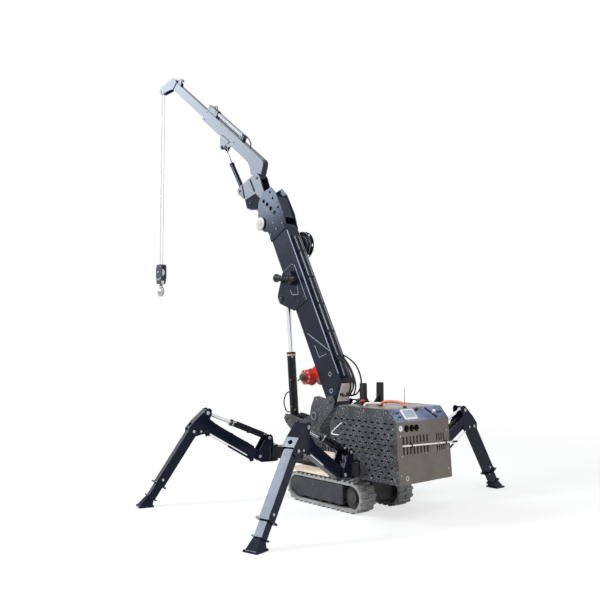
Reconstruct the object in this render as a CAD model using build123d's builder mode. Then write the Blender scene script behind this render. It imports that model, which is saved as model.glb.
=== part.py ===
"""Small crawler crane on four folding legs: tracked chassis, engine hood, slewing boom and powered jib.

Frame: millimetres, +X forward, +Y to the left, +Z up. The origin is on the ground under the middle
of the whole machine's box, with the boom raised over the front and the legs set out.
"""
import os
from math import atan2, cos, degrees, hypot, pi, radians, sin

from build123d import *

os.makedirs("parts", exist_ok=True)

# Stations along the machine, from the middle of the tracks
TRACK_X = -1724.96
SLEW_X = TRACK_X + 520.0
FRONT_PIVOT_X = TRACK_X + 950.0
REAR_PIVOT_X = TRACK_X - 540.0
FRONT_PIVOT_Y = 400.0
REAR_PIVOT_Y = 520.0

# Running fits
PIN_CLEARANCE = 0.3
SIDE_CLEARANCE = 5.0

# Tracks
TRACK_LENGTH = 1290.0
TRACK_HEIGHT = 350.0
TRACK_WIDTH = 230.0
TRACK_MIDDLE_Y = 310.0
LUG_HEIGHT = 18.0
LUG_LENGTH = 34.0
LUG_COUNT = 36
BELT_THICKNESS = 25.0
TRACK_PLATE_THICKNESS = 20.0
ROLLER_RADIUS = 45.0
ROLLER_COUNT = 4
ROLLER_PITCH = 150.0

# Chassis
FRAME_BOTTOM_Z = 120.0
DECK_Z = 386.0
DECK_THICKNESS = 22.0
FRAME_HALF_WIDTH = 185.0
RAIL_TOP_Z = 440.0
RAIL_HALF_WIDTH = 170.0
CROSS_HALF_LENGTH = 80.0
CROSS_BOTTOM_Z = 448.0
CROSS_TOP_Z = 592.0
PIVOT_BOSS_RADIUS = 45.0
PIVOT_BOSS_BOTTOM_Z = 438.3
PIVOT_BOSS_TOP_Z = 601.7
PIVOT_PIN_RADIUS = 22.0

# Slewing column
SLEW_RADIUS = 235.0
SLEW_RING_BOTTOM_Z = RAIL_TOP_Z
SLEW_RING_TOP_Z = 600.0
SLEW_RIM = 60.0
TURRET_DISC_THICKNESS = 40.0
CHEEK_INNER_Y = 112.0
CHEEK_THICKNESS = 20.0

# Boom
BOOM_ANGLE = 62.3
BOOM_FOOT_X = TRACK_X + 180.0
BOOM_FOOT_Z = 1190.0
BOOM_HALF_WIDTH = 100.0
BOOM_BELOW = 83.0
BOOM_ABOVE = 257.0
BOOM_END = 2400.0
BOOM_WALL = 10.0
FOOT_PIN_RADIUS = 30.0
SECTION_GAP = 7.0
SECTION_START = 560.0
HEAD_PLATE_THICKNESS = 14.0

# Boom cylinder
LUFF_PIN_X = TRACK_X + 1011.0
LUFF_PIN_Z = 930.0
LUFF_EYE_X = TRACK_X + 1155.0
LUFF_EYE_Z = 2490.0
LUFF_BARREL_RADIUS = 56.0
LUFF_BARREL_LENGTH = 855.0
LUFF_ROD_RADIUS = 32.0
LUFF_PIN_RADIUS = 25.0

# Jib
JIB_ANGLE = 37.0
JIB_BEND_X = TRACK_X + 1622.0
JIB_BEND_Z = 4438.0
JIB_PIVOT_X = TRACK_X + 1773.0
JIB_PIVOT_Z = 4231.0
JIB_HALF_WIDTH = 46.0
JIB_DEPTH = 178.0
JIB_LENGTH = 1900.0
JIB_WALL = 6.0
JIB_SECTION_DEPTH = 138.0
JIB_SECTION_END = 3190.0
JIB_PIN_RADIUS = 22.0
JIB_CYLINDER_X = TRACK_X + 2175.0
JIB_CYLINDER_Z = 4110.0
JIB_EYE_ALONG = 1090.0
JIB_EYE_BELOW = 290.0
JIB_BARREL_RADIUS = 34.0
JIB_BARREL_LENGTH = 560.0
JIB_ROD_RADIUS = 19.0
TELE_START = 700.0
TELE_LENGTH = JIB_LENGTH - 750.0
TELE_RADIUS = 30.0
TELE_HEIGHT = 52.0
TELE_ROD_RADIUS = 13.0

# Hook
TIP_ALONG = 3430.0
TIP_BELOW = 330.0
SHEAVE_RADIUS = 38.0
ROPE_RADIUS = 7.0
HOOK_BLOCK_TOP_Z = 3240.0
HOOK_BLOCK_HEIGHT = 330.0
HOOK_BLOCK_HALF_WIDTH = 88.0
HOOK_LOWEST_Z = 2700.0

# Hood over the engine
HOOD_REAR_X = TRACK_X - 1198.0
HOOD_FRONT_X = TRACK_X - 150.0
HOOD_HALF_WIDTH = 440.0
HOOD_BOTTOM_Z = 413.0
HOOD_SHOULDER_Z = 1062.0
HOOD_TOP_Z = 1193.0
HOOD_LEAN = 44.0
HOOD_CONSOLE_RUN = 114.0
HOOD_FRONT_CHAMFER = 145.0
HOOD_CHAMFER_DROP = 202.0
HOOD_FRONT_BEND_Z = 830.0
HOOD_FOOT_X = TRACK_X - 393.0
PANEL_THICKNESS = 12.0

# Legs, drawn in the upright plane of each leg: distance out from the swing pin, and height
LEG_AZIMUTH = 75.5
ARM_PIN = (218.0, 495.0)
ARM_CYLINDER_PIN = (90.0, 717.0)
ARM_EYE = (898.0, 1056.0)
KNEE_PIN = (1072.0, 842.0)
ARM_ANGLE = 30.6
ARM_LENGTH = 905.0
ARM_DEPTH = 116.0
ARM_HALF_WIDTH = 62.0
ARM_WALL = 8.0
KNEE_PLATE_THICKNESS = 12.0
LEG_ANGLE = 56.3
REAR_RIGHT_AZIMUTH = -92.0
REAR_RIGHT_LEG_ANGLE = 58.06
LEG_HALF_WIDTH = 56.0
LEG_DEPTH = 112.0
LEG_WALL = 8.0
LEG_TOP = -30.0
LEG_COLLAR = 715.0
LEG_COLLAR_RIM = 22.0
LEG_COLLAR_THICKNESS = 18.0
INNER_LEG_START = 250.0
INNER_LEG_END = 905.0
INNER_LEG_HALF = 46.0
FOOT_HALF = 88.0
FOOT_PLATE_THICKNESS = 16.0
BRACKET_PLATE_THICKNESS = 16.0
LEG_PIN_RADIUS = 20.0
LEG_BARREL_RADIUS = 36.0
LEG_BARREL_LENGTH = 540.0
LEG_ROD_RADIUS = 21.0
EYE_HALF_WIDTH = 22.0
LEG_EYE_RADIUS = 26.0


def save(part, name):
    """Label a finished piece and write its STEP file."""
    part.label = name
    export_step(part, f"parts/{name}.step")


def upright(y):
    """Plane along the machine at the given Y: local x is X, local y is Z, facing -Y."""
    return Plane(origin=(0, y, 0), x_dir=(1, 0, 0), z_dir=(0, -1, 0))


def tilted(x, z, angle):
    """Plane on the machine's middle line at (x, z), its local x raised by the angle."""
    turn = radians(angle)
    return Plane(origin=(x, 0, z), x_dir=(cos(turn), 0, sin(turn)), z_dir=(0, -1, 0))


def outline(plane, points, amount, both=False, mode=Mode.ADD):
    """Extrude a closed outline drawn on the plane."""
    with BuildSketch(plane) as profile:
        with BuildLine():
            Polyline(*points, close=True)
        make_face()
    extrude(profile.sketch, amount=amount, both=both, mode=mode)


def disc(plane, centre, radius, amount, both=False, mode=Mode.ADD):
    """Extrude a circle drawn on the plane."""
    with BuildSketch(plane) as profile:
        with Locations(centre):
            Circle(radius)
    extrude(profile.sketch, amount=amount, both=both, mode=mode)


def twin_plates(plane, points, inner, thickness, mode=Mode.ADD):
    """Two like plates, one each side of the plane."""
    for side in (-1, 1):
        outline(plane.offset(side * inner), points, side * thickness, mode=mode)


def twin_discs(plane, centre, radius, inner, thickness, mode=Mode.ADD):
    """Two like discs, one each side of the plane."""
    for side in (-1, 1):
        disc(plane.offset(side * inner), centre, radius, side * thickness, mode=mode)


def bar(plane, start, end, low, high, half_width, mode=Mode.ADD):
    """A straight bar in the plane's own axes, set across it by its half width."""
    points = [(start, low), (end, low), (end, high), (start, high)]
    outline(plane, points, half_width, both=True, mode=mode)


MIDDLE = upright(0)
BOOM = tilted(BOOM_FOOT_X, BOOM_FOOT_Z, BOOM_ANGLE)
JIB = tilted(JIB_BEND_X, JIB_BEND_Z, JIB_ANGLE)


# Tracks
END_RADIUS = TRACK_HEIGHT / 2
AXLE_HALF_SPAN = TRACK_LENGTH / 2 - END_RADIUS
BELT_OUTER = END_RADIUS - LUG_HEIGHT
BELT_INNER = BELT_OUTER - BELT_THICKNESS
WHEEL_RADIUS = BELT_INNER - PIN_CLEARANCE
TRACK_HALF = TRACK_WIDTH / 2
WHEEL_HALF = 60.0
BEAM_HALF = 85.0


def around_track(distance, radius):
    """Point and direction on the belt's run at a distance along it."""
    straight = 2 * AXLE_HALF_SPAN
    bend = pi * radius
    if distance < straight:
        return (-AXLE_HALF_SPAN + distance, -radius), 0.0
    distance -= straight
    if distance < bend:
        turn = distance / radius
        return (AXLE_HALF_SPAN + radius * sin(turn), -radius * cos(turn)), degrees(turn)
    distance -= bend
    if distance < straight:
        return (AXLE_HALF_SPAN - distance, radius), 180.0
    turn = (distance - straight) / radius
    return (-AXLE_HALF_SPAN - radius * sin(turn), radius * cos(turn)), 180.0 + degrees(turn)


def track_belt(name, middle_y):
    plane = Plane(origin=(TRACK_X, middle_y, END_RADIUS), x_dir=(1, 0, 0), z_dir=(0, -1, 0))
    run = 4 * AXLE_HALF_SPAN + 2 * pi * BELT_OUTER
    pitch = run / LUG_COUNT
    with BuildPart() as belt:
        with BuildSketch(plane) as loop:
            SlotCenterToCenter(2 * AXLE_HALF_SPAN, 2 * BELT_OUTER)
            SlotCenterToCenter(2 * AXLE_HALF_SPAN, 2 * BELT_INNER, mode=Mode.SUBTRACT)
        extrude(loop.sketch, amount=TRACK_HALF, both=True)
        for half, shift in ((-1, 0.0), (1, 0.5)):
            with BuildSketch(plane) as lugs:
                for index in range(LUG_COUNT):
                    point, turn = around_track((index + shift) * pitch, BELT_OUTER)
                    with Locations(Location((point[0], point[1], 0), (0, 0, turn))):
                        Rectangle(LUG_LENGTH, 2 * LUG_HEIGHT)
            extrude(lugs.sketch, amount=half * TRACK_HALF)
        with BuildSketch(plane) as hollow:
            SlotCenterToCenter(2 * AXLE_HALF_SPAN, 2 * BELT_INNER)
        extrude(hollow.sketch, amount=TRACK_HALF, both=True, mode=Mode.SUBTRACT)
        with BuildSketch(plane) as reach:
            SlotCenterToCenter(2 * AXLE_HALF_SPAN, TRACK_HEIGHT)
        extrude(reach.sketch, amount=TRACK_HALF, both=True, mode=Mode.INTERSECT)
    save(belt.part, name)


BEAM_BOTTOM = 140.0
BEAM_TOP = 300.0
BEAM_REACH = AXLE_HALF_SPAN - WHEEL_RADIUS - 12.0
CHEEK_DROP = 84.0
ROLLER_Z = TRACK_HEIGHT / 2 - BELT_INNER + PIN_CLEARANCE + ROLLER_RADIUS
AXLE_RADIUS = 24.0


def track_frame(name, side):
    """Beam between the wheels, its roller cheeks and the smooth outer cover."""
    plane = Plane(origin=(TRACK_X, side * TRACK_MIDDLE_Y, 0), x_dir=(1, 0, 0), z_dir=(0, -1, 0))
    outward = -side
    with BuildPart() as frame:
        bar(plane, -BEAM_REACH, BEAM_REACH, BEAM_BOTTOM, BEAM_TOP, BEAM_HALF)
        cheek = [(-BEAM_REACH, CHEEK_DROP), (BEAM_REACH, CHEEK_DROP), (BEAM_REACH, BEAM_TOP),
                 (-BEAM_REACH, BEAM_TOP)]
        twin_plates(plane, cheek, BEAM_HALF - 10.0, 10.0)
        cover = [(-BEAM_REACH, 80.0), (AXLE_HALF_SPAN - 20.0, 80.0), (AXLE_HALF_SPAN + 95.0, 160.0),
                 (AXLE_HALF_SPAN + 95.0, 240.0), (AXLE_HALF_SPAN + 40.0, 292.0), (-BEAM_REACH, 292.0)]
        outline(plane.offset(outward * BEAM_HALF), cover, outward * TRACK_PLATE_THICKNESS)
    save(frame.part, name)


def track_wheels(name, side):
    """Rear sprocket with its motor, front idler and the rollers between."""
    plane = Plane(origin=(TRACK_X, side * TRACK_MIDDLE_Y, 0), x_dir=(1, 0, 0), z_dir=(0, -1, 0))
    outward = -side
    motor_reach = TRACK_MIDDLE_Y - FRAME_HALF_WIDTH
    with BuildPart() as wheels:
        for end in (-1, 1):
            disc(plane, (end * AXLE_HALF_SPAN, END_RADIUS), WHEEL_RADIUS, WHEEL_HALF, both=True)
        disc(plane.offset(-outward * WHEEL_HALF), (-AXLE_HALF_SPAN, END_RADIUS), 70.0,
             -outward * (motor_reach - WHEEL_HALF))
        disc(plane.offset(outward * WHEEL_HALF), (-AXLE_HALF_SPAN, END_RADIUS), 62.0, outward * 30.0)
        disc(plane.offset(outward * WHEEL_HALF), (AXLE_HALF_SPAN, END_RADIUS), AXLE_RADIUS,
             outward * (BEAM_HALF - WHEEL_HALF))
        for index in range(ROLLER_COUNT):
            along = (index - (ROLLER_COUNT - 1) / 2) * ROLLER_PITCH
            disc(plane, (along, ROLLER_Z), ROLLER_RADIUS, BEAM_HALF - 10.0 - PIN_CLEARANCE, both=True)
    save(wheels.part, name)


for side_name, side in (("left", 1), ("right", -1)):
    track_belt(f"track_belt_{side_name}", side * TRACK_MIDDLE_Y)
    track_frame(f"track_frame_{side_name}", side)
    track_wheels(f"track_wheels_{side_name}", side)


# Chassis with the cross beams that carry the legs
FRAME_HALF_LENGTH = 560.0
FRAME_RAKE = 80.0
CROSS_SHORT = PIVOT_BOSS_RADIUS + 25.0
RAIL_FRONT_X = FRONT_PIVOT_X + CROSS_HALF_LENGTH
RAIL_REAR_X = HOOD_REAR_X + 90.0
TIE_X = 220.0
TIE_HALF = 70.0
with BuildPart() as chassis:
    hull = [(TRACK_X - FRAME_HALF_LENGTH, FRAME_BOTTOM_Z), (TRACK_X + FRAME_HALF_LENGTH, FRAME_BOTTOM_Z),
            (TRACK_X + FRAME_HALF_LENGTH + FRAME_RAKE, DECK_Z), (TRACK_X - FRAME_HALF_LENGTH, DECK_Z)]
    outline(MIDDLE, hull, FRAME_HALF_WIDTH, both=True)
    bar(MIDDLE, RAIL_REAR_X, RAIL_FRONT_X, DECK_Z, RAIL_TOP_Z, RAIL_HALF_WIDTH)
    for along in (-TIE_X, TIE_X):
        bar(MIDDLE, TRACK_X + along - TIE_HALF, TRACK_X + along + TIE_HALF, BEAM_BOTTOM + 10.0,
            BEAM_TOP - 30.0, TRACK_MIDDLE_Y - BEAM_HALF)
    for pivot_x, pivot_y in ((FRONT_PIVOT_X, FRONT_PIVOT_Y), (REAR_PIVOT_X, REAR_PIVOT_Y)):
        bar(MIDDLE, pivot_x - CROSS_HALF_LENGTH, pivot_x + CROSS_HALF_LENGTH, RAIL_TOP_Z - 4.0,
            CROSS_TOP_Z, RAIL_HALF_WIDTH)
        bar(MIDDLE, pivot_x - CROSS_HALF_LENGTH, pivot_x + CROSS_HALF_LENGTH, CROSS_BOTTOM_Z,
            CROSS_TOP_Z, pivot_y - CROSS_SHORT)
        for side in (-1, 1):
            web = [(pivot_x - CROSS_HALF_LENGTH, side * (pivot_y - CROSS_SHORT)),
                   (pivot_x + CROSS_HALF_LENGTH, side * (pivot_y - CROSS_SHORT)),
                   (pivot_x + PIVOT_BOSS_RADIUS, side * pivot_y),
                   (pivot_x - PIVOT_BOSS_RADIUS, side * pivot_y)]
            outline(Plane.XY.offset(CROSS_BOTTOM_Z), web, CROSS_TOP_Z - CROSS_BOTTOM_Z)
            floor = Plane.XY.offset(PIVOT_BOSS_BOTTOM_Z)
            boss_height = PIVOT_BOSS_TOP_Z - PIVOT_BOSS_BOTTOM_Z
            disc(floor, (pivot_x, side * pivot_y), PIVOT_BOSS_RADIUS, boss_height)
            disc(floor, (pivot_x, side * pivot_y), PIVOT_PIN_RADIUS + PIN_CLEARANCE, boss_height,
                 mode=Mode.SUBTRACT)
save(chassis.part, "chassis")

FENDER_REAR = -120.0
FENDER_FRONT = 640.0
FENDER_Y = 440.0
FENDER_CORNER = 40.0
with BuildPart() as fenders:
    for side in (-1, 1):
        points = [(TRACK_X + FENDER_REAR, side * FRAME_HALF_WIDTH),
                  (TRACK_X + FENDER_FRONT, side * FRAME_HALF_WIDTH),
                  (TRACK_X + FENDER_FRONT, side * (FENDER_Y - FENDER_CORNER)),
                  (TRACK_X + FENDER_FRONT - FENDER_CORNER, side * FENDER_Y),
                  (TRACK_X + FENDER_REAR, side * FENDER_Y)]
        outline(Plane.XY.offset(DECK_Z - DECK_THICKNESS), points, DECK_THICKNESS)
save(fenders.part, "fenders")

with BuildPart() as slew_ring:
    disc(Plane.XY.offset(SLEW_RING_BOTTOM_Z), (SLEW_X, 0), SLEW_RADIUS - 25.0,
         SLEW_RING_TOP_Z - SLEW_RING_BOTTOM_Z)
    disc(Plane.XY.offset(SLEW_RING_TOP_Z - SLEW_RIM), (SLEW_X, 0), SLEW_RADIUS, SLEW_RIM)
save(slew_ring.part, "slew_ring")


# Turret: two cheeks on a disc, from the cylinder's pin in front to the boom's foot behind
TURRET_BASE_Z = SLEW_RING_TOP_Z + PIN_CLEARANCE
TURRET_DECK_Z = TURRET_BASE_Z + TURRET_DISC_THICKNESS
CHEEK_PIN_HALF = CHEEK_INNER_Y + CHEEK_THICKNESS + 10.0
with BuildPart() as turret:
    disc(Plane.XY.offset(TURRET_BASE_Z), (SLEW_X, 0), SLEW_RADIUS, TURRET_DISC_THICKNESS)
    cheek = [(SLEW_X - 190.0, TURRET_DECK_Z - 10.0), (SLEW_X + 200.0, TURRET_DECK_Z - 10.0),
             (SLEW_X + 240.0, 660.0), (LUFF_PIN_X + 30.0, LUFF_PIN_Z - 55.0), (LUFF_PIN_X + 62.0, LUFF_PIN_Z),
             (LUFF_PIN_X + 30.0, LUFF_PIN_Z + 55.0), (LUFF_PIN_X - 60.0, LUFF_PIN_Z + 50.0),
             (SLEW_X + 180.0, 930.0), (SLEW_X + 40.0, 1000.0), (SLEW_X + 15.0, 1110.0),
             (SLEW_X - 45.0, 1233.0), (SLEW_X - 120.0, 1245.0), (BOOM_FOOT_X + 90.0, BOOM_FOOT_Z + 30.0),
             (BOOM_FOOT_X + 30.0, BOOM_FOOT_Z + 68.0), (BOOM_FOOT_X - 40.0, BOOM_FOOT_Z + 60.0),
             (BOOM_FOOT_X - 70.0, BOOM_FOOT_Z), (BOOM_FOOT_X - 40.0, BOOM_FOOT_Z - 75.0),
             (SLEW_X - 150.0, 860.0)]
    twin_plates(MIDDLE, cheek, CHEEK_INNER_Y, CHEEK_THICKNESS)
    box = [(SLEW_X - 180.0, TURRET_DECK_Z - 10.0), (SLEW_X + 190.0, TURRET_DECK_Z - 10.0),
           (SLEW_X + 215.0, 690.0), (SLEW_X - 120.0, 860.0), (SLEW_X - 145.0, 860.0)]
    outline(MIDDLE, box, CHEEK_INNER_Y, both=True)
    twin_discs(MIDDLE, (SLEW_X - 52.0, 994.0), 52.0, CHEEK_INNER_Y + CHEEK_THICKNESS - 2.0, 16.0)
    disc(MIDDLE, (BOOM_FOOT_X, BOOM_FOOT_Z), FOOT_PIN_RADIUS, CHEEK_PIN_HALF, both=True)
    disc(MIDDLE, (LUFF_PIN_X, LUFF_PIN_Z), LUFF_PIN_RADIUS, CHEEK_PIN_HALF, both=True)
save(turret.part, "turret")


# Boom: outer box with its foot, side doublers and cylinder bracket
BRACKET_THICKNESS = 11.0
boom_eye = BOOM.to_local_coords(Vector(LUFF_EYE_X, 0, LUFF_EYE_Z))
MOUTH_LENGTH = 80.0
with BuildPart() as boom_base:
    foot = [(-40.0, 62.0), (-72.0, 20.0), (-66.0, -40.0), (-20.0, -74.0), (60.0, -BOOM_BELOW),
            (BOOM_END, -BOOM_BELOW), (BOOM_END, BOOM_ABOVE), (130.0, BOOM_ABOVE)]
    outline(BOOM, foot, BOOM_HALF_WIDTH, both=True)
    bar(BOOM, 480.0, BOOM_END - MOUTH_LENGTH, BOOM_WALL - BOOM_BELOW, BOOM_ABOVE - BOOM_WALL,
        BOOM_HALF_WIDTH - BOOM_WALL, mode=Mode.SUBTRACT)
    bar(BOOM, BOOM_END - MOUTH_LENGTH, BOOM_END, BOOM_WALL + SECTION_GAP - BOOM_BELOW - PIN_CLEARANCE,
        BOOM_ABOVE - BOOM_WALL - SECTION_GAP + PIN_CLEARANCE,
        BOOM_HALF_WIDTH - BOOM_WALL - SECTION_GAP + PIN_CLEARANCE, mode=Mode.SUBTRACT)
    bracket = [(1330.0, 170.0), (1860.0, 170.0), (1900.0, 130.0), (1900.0, -BOOM_BELOW),
               (boom_eye.X + 100.0, boom_eye.Y - 30.0), (boom_eye.X + 60.0, boom_eye.Y - 62.0),
               (boom_eye.X - 40.0, boom_eye.Y - 62.0), (1330.0, -BOOM_BELOW - 20.0)]
    twin_plates(BOOM, bracket, BOOM_HALF_WIDTH, BRACKET_THICKNESS)
    twin_discs(BOOM, (boom_eye.X, boom_eye.Y), 42.0, BOOM_HALF_WIDTH + BRACKET_THICKNESS, 12.0)
    foot_doubler = [(60.0, -60.0), (560.0, -60.0), (640.0, 60.0), (520.0, 235.0), (150.0, 235.0), (0.0, 60.0)]
    twin_plates(BOOM, foot_doubler, BOOM_HALF_WIDTH, 6.0)
    disc(BOOM, (0, 0), FOOT_PIN_RADIUS + PIN_CLEARANCE, BOOM_HALF_WIDTH + 20.0, both=True,
         mode=Mode.SUBTRACT)
    bar(BOOM, 200.0, BOOM_END - 120.0, BOOM_ABOVE, BOOM_ABOVE + 22.0, 60.0)
save(boom_base.part, "boom_base")

HEAD_START = BOOM_END + 6.0
HEAD_LIP = 60.0
SECTION_LOW = BOOM_WALL + SECTION_GAP - BOOM_BELOW
SECTION_HIGH = BOOM_ABOVE - BOOM_WALL - SECTION_GAP
SECTION_SIDE = BOOM_HALF_WIDTH - BOOM_WALL - SECTION_GAP
SECTION_WALL = 9.0
HEAD_INNER_Y = SECTION_SIDE + 5.0
HEAD_OUTER_Y = HEAD_INNER_Y + HEAD_PLATE_THICKNESS
HEAD_SHEAVE = (2760.0, -172.0)
HEAD_SHEAVE_RADIUS = 92.0
head_line = [(HEAD_START, -92.0), (2560.0, -98.0), (2640.0, -150.0), (2760.0, -196.0), (2900.0, -184.0),
             (3060.0, -96.0), (3132.0, 52.0), (3090.0, 240.0), (2950.0, 288.0), (2620.0, 300.0),
             (HEAD_START, 262.0)]
head_holes = ((3010.0, 20.0, 22.0), (2925.0, 60.0, 24.0), (2830.0, 100.0, 24.0), (2730.0, 140.0, 22.0),
              (3040.0, 190.0, 14.0), (2930.0, 200.0, 13.0), (2750.0, 240.0, 12.0))
with BuildPart() as boom_head:
    bar(BOOM, SECTION_START, HEAD_START + HEAD_LIP, SECTION_LOW, SECTION_HIGH, SECTION_SIDE)
    bar(BOOM, SECTION_START, HEAD_START, SECTION_LOW + SECTION_WALL, SECTION_HIGH - SECTION_WALL,
        SECTION_SIDE - SECTION_WALL, mode=Mode.SUBTRACT)
    bar(BOOM, HEAD_START, HEAD_START + HEAD_LIP, -95.0, 258.0, HEAD_OUTER_Y + 8.0)
    twin_plates(BOOM, head_line, HEAD_INNER_Y, HEAD_PLATE_THICKNESS)
    bar(BOOM, 2560.0, 2900.0, 262.0, 282.0, HEAD_INNER_Y)
    for along, up, radius in head_holes:
        disc(BOOM, (along, up), radius, 2 * BOOM_HALF_WIDTH, both=True, mode=Mode.SUBTRACT)
    disc(BOOM, HEAD_SHEAVE, 20.0, HEAD_INNER_Y, both=True)
    disc(BOOM, HEAD_SHEAVE, HEAD_SHEAVE_RADIUS + 12.0, 22.0, both=True)
    twin_discs(BOOM, HEAD_SHEAVE, HEAD_SHEAVE_RADIUS, HEAD_OUTER_Y, 18.0)
save(boom_head.part, "boom_head")


# Jib root on the boom's head, jib, its inner section and the sheave at the tip
ROOT_INNER_Y = 57.0
ROOT_THICKNESS = 16.0
jib_pivot = JIB.to_local_coords(Vector(JIB_PIVOT_X, 0, JIB_PIVOT_Z))
with BuildPart() as jib_root:
    root = [(TRACK_X + 1560.0, 3950.0), (TRACK_X + 1650.0, 3760.0), (TRACK_X + 1900.0, 3790.0),
            (TRACK_X + 1998.0, 3830.0), (TRACK_X + 2046.0, 3960.0), (TRACK_X + 2215.0, 4072.0),
            (TRACK_X + 2236.0, 4118.0), (TRACK_X + 2196.0, 4166.0), (TRACK_X + 1880.0, 4280.0),
            (TRACK_X + 1760.0, 4300.0), (TRACK_X + 1700.0, 4240.0), (TRACK_X + 1640.0, 4090.0)]
    twin_plates(MIDDLE, root, ROOT_INNER_Y, ROOT_THICKNESS)
    tie = [(TRACK_X + 1600.0, 3940.0), (TRACK_X + 1670.0, 3800.0), (TRACK_X + 1900.0, 3815.0),
           (TRACK_X + 1980.0, 3850.0), (TRACK_X + 1990.0, 3950.0), (TRACK_X + 1700.0, 3990.0)]
    outline(MIDDLE, tie, ROOT_INNER_Y, both=True)
    spacer = [(2960.0, -90.0), (3040.0, -70.0), (3040.0, 60.0), (2960.0, 60.0)]
    twin_plates(BOOM, spacer, ROOT_INNER_Y + ROOT_THICKNESS - 1.0,
                HEAD_INNER_Y - ROOT_INNER_Y - ROOT_THICKNESS + 1.0)
    disc(MIDDLE, (JIB_PIVOT_X, JIB_PIVOT_Z), JIB_PIN_RADIUS, ROOT_INNER_Y + ROOT_THICKNESS + 8.0, both=True)
    disc(MIDDLE, (JIB_CYLINDER_X, JIB_CYLINDER_Z), 18.0, ROOT_INNER_Y + ROOT_THICKNESS + 8.0, both=True)
save(jib_root.part, "jib_root")

JIB_MOUTH = 60.0
JIB_HOLLOW_START = 520.0
JIB_SECTION_GAP = 5.0
SECTION_HALF = JIB_HALF_WIDTH - JIB_WALL - JIB_SECTION_GAP
SECTION_TOP = -JIB_WALL - JIB_SECTION_GAP
SECTION_BOTTOM = SECTION_TOP - JIB_SECTION_DEPTH
with BuildPart() as jib_base:
    neck = [(4.0, -52.0), (26.0, -16.0), (66.0, 0), (JIB_LENGTH, 0), (JIB_LENGTH, -JIB_DEPTH),
            (440.0, -JIB_DEPTH), (360.0, -186.0), (290.0, -210.0), (235.0, -250.0), (190.0, -286.0),
            (jib_pivot.X + 45.0, jib_pivot.Y - 20.0), (jib_pivot.X + 20.0, jib_pivot.Y - 44.0),
            (jib_pivot.X - 30.0, jib_pivot.Y - 38.0), (jib_pivot.X - 48.0, jib_pivot.Y + 20.0)]
    outline(JIB, neck, JIB_HALF_WIDTH, both=True)
    bar(JIB, JIB_HOLLOW_START, JIB_LENGTH - JIB_MOUTH, JIB_WALL - JIB_DEPTH, -JIB_WALL,
        JIB_HALF_WIDTH - JIB_WALL, mode=Mode.SUBTRACT)
    bar(JIB, JIB_LENGTH - JIB_MOUTH, JIB_LENGTH, SECTION_BOTTOM - PIN_CLEARANCE, SECTION_TOP + PIN_CLEARANCE,
        SECTION_HALF + PIN_CLEARANCE, mode=Mode.SUBTRACT)
    lug = [(JIB_EYE_ALONG - 130.0, -JIB_DEPTH + 40.0), (JIB_EYE_ALONG + 130.0, -JIB_DEPTH + 40.0),
           (JIB_EYE_ALONG + 130.0, -JIB_DEPTH - 30.0), (JIB_EYE_ALONG + 55.0, -JIB_EYE_BELOW - 20.0),
           (JIB_EYE_ALONG + 15.0, -JIB_EYE_BELOW - 42.0), (JIB_EYE_ALONG - 35.0, -JIB_EYE_BELOW - 30.0),
           (JIB_EYE_ALONG - 60.0, -JIB_DEPTH - 40.0)]
    twin_plates(JIB, lug, JIB_HALF_WIDTH, 10.0)
    twin_discs(JIB, (JIB_EYE_ALONG, -JIB_EYE_BELOW), 26.0, JIB_HALF_WIDTH + 10.0, 8.0)
    for along in (TELE_START + 60.0, JIB_LENGTH - 260.0):
        bar(JIB, along, along + 60.0, 0, TELE_HEIGHT - TELE_RADIUS + 4.0, 30.0)
    disc(JIB, (jib_pivot.X, jib_pivot.Y), JIB_PIN_RADIUS + PIN_CLEARANCE, JIB_HALF_WIDTH, both=True,
         mode=Mode.SUBTRACT)
save(jib_base.part, "jib_base")

TIP_LOCAL = (TIP_ALONG, -TIP_BELOW)
TIP = JIB.from_local_coords(Vector(TIP_ALONG, -TIP_BELOW, 0))
JIB_SECTION_START = 640.0
TELE_ROD_END = 2960.0
with BuildPart() as jib_section:
    bar(JIB, JIB_SECTION_START, JIB_SECTION_END, SECTION_BOTTOM, SECTION_TOP, SECTION_HALF)
    bar(JIB, JIB_SECTION_START, JIB_SECTION_END - 120.0, SECTION_BOTTOM + 8.0, SECTION_TOP - 8.0,
        SECTION_HALF - 6.0, mode=Mode.SUBTRACT)
    tip_plate = [(3040.0, SECTION_TOP), (3110.0, SECTION_TOP + 32.0), (3200.0, SECTION_TOP + 18.0),
                 (3262.0, SECTION_TOP - 60.0), (TIP_ALONG + 44.0, 56.0 - TIP_BELOW),
                 (TIP_ALONG + 62.0, -TIP_BELOW - 16.0), (TIP_ALONG + 8.0, -TIP_BELOW - 56.0),
                 (TIP_ALONG - 56.0, -TIP_BELOW - 26.0), (3150.0, SECTION_BOTTOM - 34.0),
                 (3080.0, SECTION_BOTTOM)]
    twin_plates(JIB, tip_plate, SECTION_HALF, 10.0)
    ear = [(TELE_ROD_END - 60.0, SECTION_TOP - 2.0), (TELE_ROD_END + 60.0, SECTION_TOP - 2.0),
           (TELE_ROD_END + 34.0, TELE_HEIGHT + 34.0), (TELE_ROD_END - 34.0, TELE_HEIGHT + 34.0)]
    twin_plates(JIB, ear, 16.0, 10.0)
    disc(JIB, TIP_LOCAL, 16.0, SECTION_HALF + 16.0, both=True)
    disc(JIB, TIP_LOCAL, SHEAVE_RADIUS, SECTION_HALF, both=True)
save(jib_section.part, "jib_section")


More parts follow.
